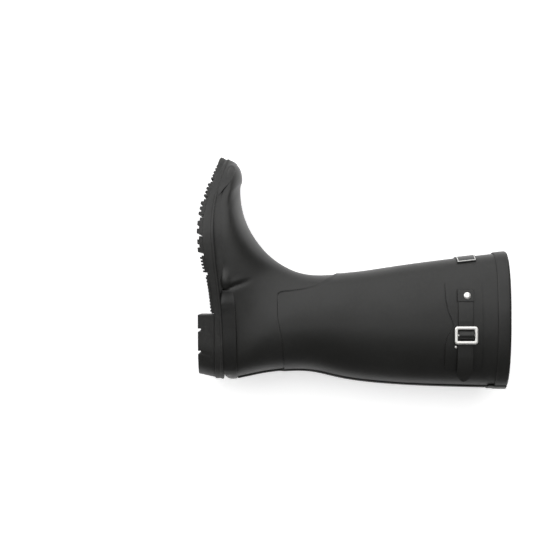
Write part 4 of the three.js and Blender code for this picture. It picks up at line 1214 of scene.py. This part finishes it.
# %% Footbed
# The tan cover inside the shoe lies level with the seat and cups up a little at its edge.
BED_RISE = 11.4
BED_EDGES = np.array([
    (7.5, -7, 9), (12, -13.5, 15), (20, -19.8, 21.3), (50, -26.4, 25.5), (100, -33.4, 29), (150, -40.2, 36),
    (200, -40.4, 45), (225, -33.5, 44.2), (240, -25.8, 41.8), (252, -18.5, 36.5), (260, -9, 30),
    (263, 0, 22)])


def bed_place(a, b, extra):
    """A sheet over the foot's inner floor, from heel to toe and from edge to edge."""
    heel, toe = BED_EDGES[0, 0], BED_EDGES[-1, 0]
    f = heel + (toe - heel) * (1 - np.cos(math.pi * a)) / 2
    low, high = (np.interp(f, BED_EDGES[:, 0], BED_EDGES[:, k]) for k in (1, 2))
    return np.stack([f, low + (high - low) * b, seat(f) + BED_RISE + 0.5 * (2 * b - 1) ** 4 + extra], -1)


bed = round_edges(thicken(drape("footbed_sheet", 120, 30, bed_place), 0.9), 0.3)
stand_for(shade(bed), "boot", "footbed_tan", "footbed_cover")

# %% [markdown]
# ## Materials
#
# Cast and laid-up rubber is dark and satin: a broad soft highlight, a fine grain, slight changes
# of gloss from handling, and a trace of dust. The grain and the wear are node groups, so every
# rubber shares them; each material sets its own strengths.

# %% Shared effects
def node_group(name, inputs, outputs):
    group = bpy.data.node_groups.new(name, "ShaderNodeTree")
    for label, kind, value in inputs:
        socket = group.interface.new_socket(label, in_out="INPUT", socket_type=kind)
        if value is not None:
            socket.default_value = value
    for label, kind in outputs:
        group.interface.new_socket(label, in_out="OUTPUT", socket_type=kind)
    return group, group.nodes.new("NodeGroupInput"), group.nodes.new("NodeGroupOutput")


def math_node(tree, operation, first, second):
    node = tree.nodes.new("ShaderNodeMath")
    node.operation = operation
    for socket, value in zip(node.inputs, (first, second)):
        if hasattr(value, "links"):
            tree.links.new(value, socket)
        else:
            socket.default_value = value
    return node.outputs[0]


def noise(tree, vector, scale, detail, roughness=0.5):
    node = tree.nodes.new("ShaderNodeTexNoise")
    node.inputs["Scale"].default_value = scale
    node.inputs["Detail"].default_value = detail
    node.inputs["Roughness"].default_value = roughness
    tree.links.new(vector, node.inputs["Vector"])
    return node.outputs["Fac"]


def ramp(tree, value, low, high, to_low=0.0, to_high=1.0):
    node = tree.nodes.new("ShaderNodeMapRange")
    tree.links.new(value, node.inputs["Value"])
    for label, number in (("From Min", low), ("From Max", high), ("To Min", to_low), ("To Max", to_high)):
        node.inputs[label].default_value = number
    return node.outputs["Result"]


def grain_group():
    """Fine pebbling plus a slow unevenness, as one height in millimetres."""
    group, given, result = node_group(
        "Rubber Grain", [("Vector", "NodeSocketVector", None), ("Fine", "NodeSocketFloat", 0.02),
                         ("Slow", "NodeSocketFloat", 0.08)], [("Height", "NodeSocketFloat")])
    fine = noise(group, given.outputs["Vector"], 2600, 3, 0.6)
    slow = noise(group, given.outputs["Vector"], 60, 2)
    total = math_node(group, "ADD", math_node(group, "MULTIPLY", fine, given.outputs["Fine"]),
                      math_node(group, "MULTIPLY", slow, given.outputs["Slow"]))
    group.links.new(total, result.inputs["Height"])
    return group


def wear_group():
    """Patches of more and less gloss, and a thin uneven veil of dust."""
    group, given, result = node_group(
        "Handling Wear",
        [("Vector", "NodeSocketVector", None), ("Roughness", "NodeSocketFloat", 0.5),
         ("Spread", "NodeSocketFloat", 0.08), ("Base", "NodeSocketColor", (0.02, 0.02, 0.02, 1)),
         ("Dust", "NodeSocketColor", (0.07, 0.07, 0.066, 1)), ("Amount", "NodeSocketFloat", 0.15)],
        [("Roughness", "NodeSocketFloat"), ("Color", "NodeSocketColor")])
    broad = noise(group, given.outputs["Vector"], 18, 4, 0.6)
    swing = math_node(group, "MULTIPLY", ramp(group, broad, 0.35, 0.65, -1, 1), given.outputs["Spread"])
    group.links.new(math_node(group, "ADD", given.outputs["Roughness"], swing), result.inputs["Roughness"])
    specks = noise(group, given.outputs["Vector"], 240, 6, 0.7)
    veil = math_node(group, "MULTIPLY", ramp(group, specks, 0.45, 0.75), ramp(group, broad, 0.4, 0.7, 0.3, 1))
    blend = group.nodes.new("ShaderNodeMix")
    blend.data_type = "RGBA"
    group.links.new(math_node(group, "MULTIPLY", veil, given.outputs["Amount"]), blend.inputs[0])
    group.links.new(given.outputs["Base"], blend.inputs[6])
    group.links.new(given.outputs["Dust"], blend.inputs[7])
    group.links.new(blend.outputs[2], result.inputs["Color"])
    return group


def knit_group():
    """Crossing ribs of a knitted cloth, as a height."""
    group, given, result = node_group(
        "Knit Ribs", [("Vector", "NodeSocketVector", None), ("Scale", "NodeSocketFloat", 700.0)],
        [("Height", "NodeSocketFloat")])
    parts = []
    for direction in ("X", "Z"):
        wave = group.nodes.new("ShaderNodeTexWave")
        wave.bands_direction = direction
        wave.inputs["Distortion"].default_value = 1.5
        group.links.new(given.outputs["Vector"], wave.inputs["Vector"])
        group.links.new(given.outputs["Scale"], wave.inputs["Scale"])
        parts.append(wave.outputs["Fac"])
    group.links.new(math_node(group, "MULTIPLY", *parts), result.inputs["Height"])
    return group


GRAIN, WEAR, KNIT = grain_group(), wear_group(), knit_group()
print("effects", [group.name for group in (GRAIN, WEAR, KNIT)])


# %% Materials
def surface(name, color, roughness, metallic=0.0, spread=0.0, dust=0.0, fine=0.0, slow=0.0, knit=0.0):
    """A Principled material with object-space grain and wear."""
    material = bpy.data.materials.new(name)
    material.use_nodes = True
    tree = material.node_tree
    shader = tree.nodes["Principled BSDF"]
    shader.inputs["Base Color"].default_value = (*color, 1)
    shader.inputs["Roughness"].default_value = roughness
    shader.inputs["Metallic"].default_value = metallic
    place = tree.nodes.new("ShaderNodeTexCoord").outputs["Object"]
    if spread or dust:
        wear = tree.nodes.new("ShaderNodeGroup")
        wear.node_tree = WEAR
        tree.links.new(place, wear.inputs["Vector"])
        wear.inputs["Roughness"].default_value = roughness
        wear.inputs["Spread"].default_value = spread
        wear.inputs["Base"].default_value = (*color, 1)
        wear.inputs["Amount"].default_value = dust
        tree.links.new(wear.outputs["Roughness"], shader.inputs["Roughness"])
        tree.links.new(wear.outputs["Color"], shader.inputs["Base Color"])
    if fine or slow or knit:
        bump = tree.nodes.new("ShaderNodeBump")
        bump.inputs["Distance"].default_value = MM
        bump.inputs["Strength"].default_value = 1.0
        relief = tree.nodes.new("ShaderNodeGroup")
        relief.node_tree = KNIT if knit else GRAIN
        tree.links.new(place, relief.inputs["Vector"])
        if knit:
            bump.inputs["Strength"].default_value = knit
        else:
            relief.inputs["Fine"].default_value = fine
            relief.inputs["Slow"].default_value = slow
        tree.links.new(relief.outputs["Height"], bump.inputs["Height"])
        tree.links.new(bump.outputs["Normal"], shader.inputs["Normal"])
    return material


LOOKS = {
    "rubber_black": surface("Rubber Satin Black", (0.0095, 0.0095, 0.0085), 0.42, spread=0.05, dust=0.10,
                            fine=0.03, slow=0.10),
    "rubber_sole": surface("Rubber Sole Black", (0.011, 0.011, 0.010), 0.52, spread=0.06, dust=0.22,
                           fine=0.05, slow=0.08),
    "rubber_gloss": surface("Rubber Foxing Black", (0.0095, 0.0095, 0.0088), 0.36, spread=0.05, dust=0.08,
                            fine=0.02, slow=0.08),
    "badge_plate": surface("Badge Enamel", (0.02, 0.02, 0.02), 0.35, spread=0.03, dust=0.05, fine=0.01),
    "pale_line": surface("Pale Print", (0.72, 0.72, 0.70), 0.5, spread=0.03),
    "metal_nickel": surface("Brushed Nickel", (0.92, 0.91, 0.88), 0.36, metallic=0.85, spread=0.05,
                            fine=0.01),
    "steel_shank": surface("Spring Steel", (0.42, 0.43, 0.45), 0.35, metallic=1.0, spread=0.05),
    "lining_knit": surface("Charcoal Knit", (0.045, 0.045, 0.038), 0.9, knit=0.35, dust=0.1),
    "interlining": surface("Interlining Cloth", (0.35, 0.33, 0.29), 0.9, knit=0.3),
    "board_fibre": surface("Fibre Board", (0.30, 0.22, 0.14), 0.85, spread=0.05, fine=0.05),
    "foam": surface("Foam", (0.55, 0.52, 0.45), 0.95, fine=0.08),
    "footbed_tan": surface("Footbed Cloth", (0.56, 0.43, 0.29), 0.85, dust=0.05, knit=0.2),
}


def paint(obj, look):
    obj.data.materials.clear()
    obj.data.materials.append(LOOKS[look])


PIECES = {
    "rubber_black": ("leg_sheet", "vamp_sheet", "back_strip_sheet", "strap_panel_sheet", "rim_binding",
                     "strap_ribbon", "strap_tail_ribbon", "strap_tab_sheet"),
    "rubber_gloss": ("heel_patch_sheet", "toe_cap_sheet"),
    "rubber_sole": ("outsole_body", "heel_block_body"),
    "badge_plate": ("badge_plate_sheet",),
    "pale_line": ("badge_rim_line",),
    "metal_nickel": ("buckle_frame_ring", "buckle_centre_bar", "rivet_head", "chape_stud_head"),
    "lining_knit": ("lining_sock",),
    "footbed_tan": ("footbed_sheet",)}
for look, names in PIECES.items():
    for piece_name in names:
        paint(bpy.data.objects[piece_name], look)

# %% Materials on the frame's own inner pieces
INNER_PIECES = {
    "rubber_black": ("chape",),
    "foam": ("footbed_foam", "midsole_filler"),
    "board_fibre": ("heel_core", "insole_board", "heel_counter", "toe_puff"),
    "steel_shank": ("shank",),
    "interlining": ("foot_interlining", "leg_interlining")}
for look, names in INNER_PIECES.items():
    for node_name in names:
        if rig.alive(frame["nodes"][node_name]):
            paint(frame["nodes"][node_name], look)
print("materials", len(bpy.data.materials))

# %% [markdown]
# ## Stage
#
# The boot lies on its inner side on a pale surface and is seen from above, so the surface stands
# upright behind it in the boot's own frame. It is see-through from behind, so other views of the
# boot stay open.

# %% Surface
deselect()
bpy.ops.mesh.primitive_plane_add(size=8)
ground = bpy.context.object
ground.name = ground.data.name = "surface"
in_edit(ground, lambda: bpy.ops.transform.rotate(value=math.radians(90), orient_axis="X",
                                                 center_override=(0, 0, 0)))
GROUND_Y = max(v.co.y for o in bpy.data.objects if o.type == "MESH" and o is not ground
               for v in o.data.vertices) + 0.001
in_edit(ground, lambda: bpy.ops.transform.translate(value=(0, GROUND_Y, 0.1925)))
if ground.data.polygons[0].normal.y > 0:
    in_edit(ground, bpy.ops.mesh.flip_normals)
paper = bpy.data.materials.new("Pale Surface")
paper.use_nodes = True
paper_tree = paper.node_tree
paper_shader = paper_tree.nodes["Principled BSDF"]
paper_shader.inputs["Base Color"].default_value = (0.95, 0.95, 0.95, 1)
paper_shader.inputs["Roughness"].default_value = 0.8
paper_shader.inputs["Specular IOR Level"].default_value = 0.1
paper_shader.inputs["Emission Color"].default_value = (1, 1, 1, 1)
paper_shader.inputs["Emission Strength"].default_value = 0.6
see_through = paper_tree.nodes.new("ShaderNodeBsdfTransparent")
facing = paper_tree.nodes.new("ShaderNodeNewGeometry").outputs["Backfacing"]
either = paper_tree.nodes.new("ShaderNodeMixShader")
paper_tree.links.new(facing, either.inputs[0])
paper_tree.links.new(paper_shader.outputs[0], either.inputs[1])
paper_tree.links.new(see_through.outputs[0], either.inputs[2])
paper_tree.links.new(either.outputs[0], paper_tree.nodes["Material Output"].inputs["Surface"])
ground.data.materials.append(paper)
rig.stage(ground)
print("surface at", round(GROUND_Y, 4))

# %% Lights
def area_light(name, place, target, size, watts):
    deselect()
    bpy.ops.object.light_add(type="AREA", location=place)
    light = bpy.context.object
    light.name = name
    light.data.shape = "RECTANGLE"
    light.data.size, light.data.size_y = size
    light.data.energy = watts
    way = Vector(target) - Vector(place)
    light.rotation_euler = way.to_track_quat("-Z", "Y").to_euler()
    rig.stage(light)
    return light


TARGET = (0, 0, 0.19)
area_light("soft_key", (-0.98, -1.16, 0.22), TARGET, (2.75, 2.5), 32)
area_light("left_soft", (-0.7, -1.45, -1.35), TARGET, (1.5, 1.5), 13)
area_light("front_fill", (0.2, -2.3, 0.45), (0.07, -0.04, 0.32), (0.35, 0.35), 1.0)
world = bpy.data.worlds.new("Pale World")
bpy.context.scene.world = world
world.use_nodes = True
world.node_tree.nodes["Background"].inputs["Color"].default_value = (1, 1, 1, 1)
world.node_tree.nodes["Background"].inputs["Strength"].default_value = 0.15
bpy.context.scene.view_settings.view_transform = "Standard"
print("lights", [o.name for o in bpy.data.objects if o.type == "LIGHT"])

# %% Camera
# It looks inwards, along +Y, from 1.37 m off, and the rim of the boot lies to the right.
deselect()
bpy.ops.object.camera_add()
camera = bpy.context.object
camera.name = "top_camera"
camera.data.lens = 71.1
camera.data.sensor_width = 36
camera.matrix_world = Matrix(((0, -1, 0, 0.00175), (0, 0, -1, -1.3716), (1, 0, 0, 0.095), (0, 0, 0, 1)))
bpy.context.scene.camera = camera
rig.stage(camera)
print("camera", camera.name, camera.data.lens, "mm")

# %% Sizes in and out
VISUAL_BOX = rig.bounds()
with open("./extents.json", "w") as file:
    json.dump({"cad": [list(map(float, c)) for c in CAD_BOX],
               "visual": [list(map(float, c)) for c in VISUAL_BOX]}, file)
print("visual box", VISUAL_BOX)
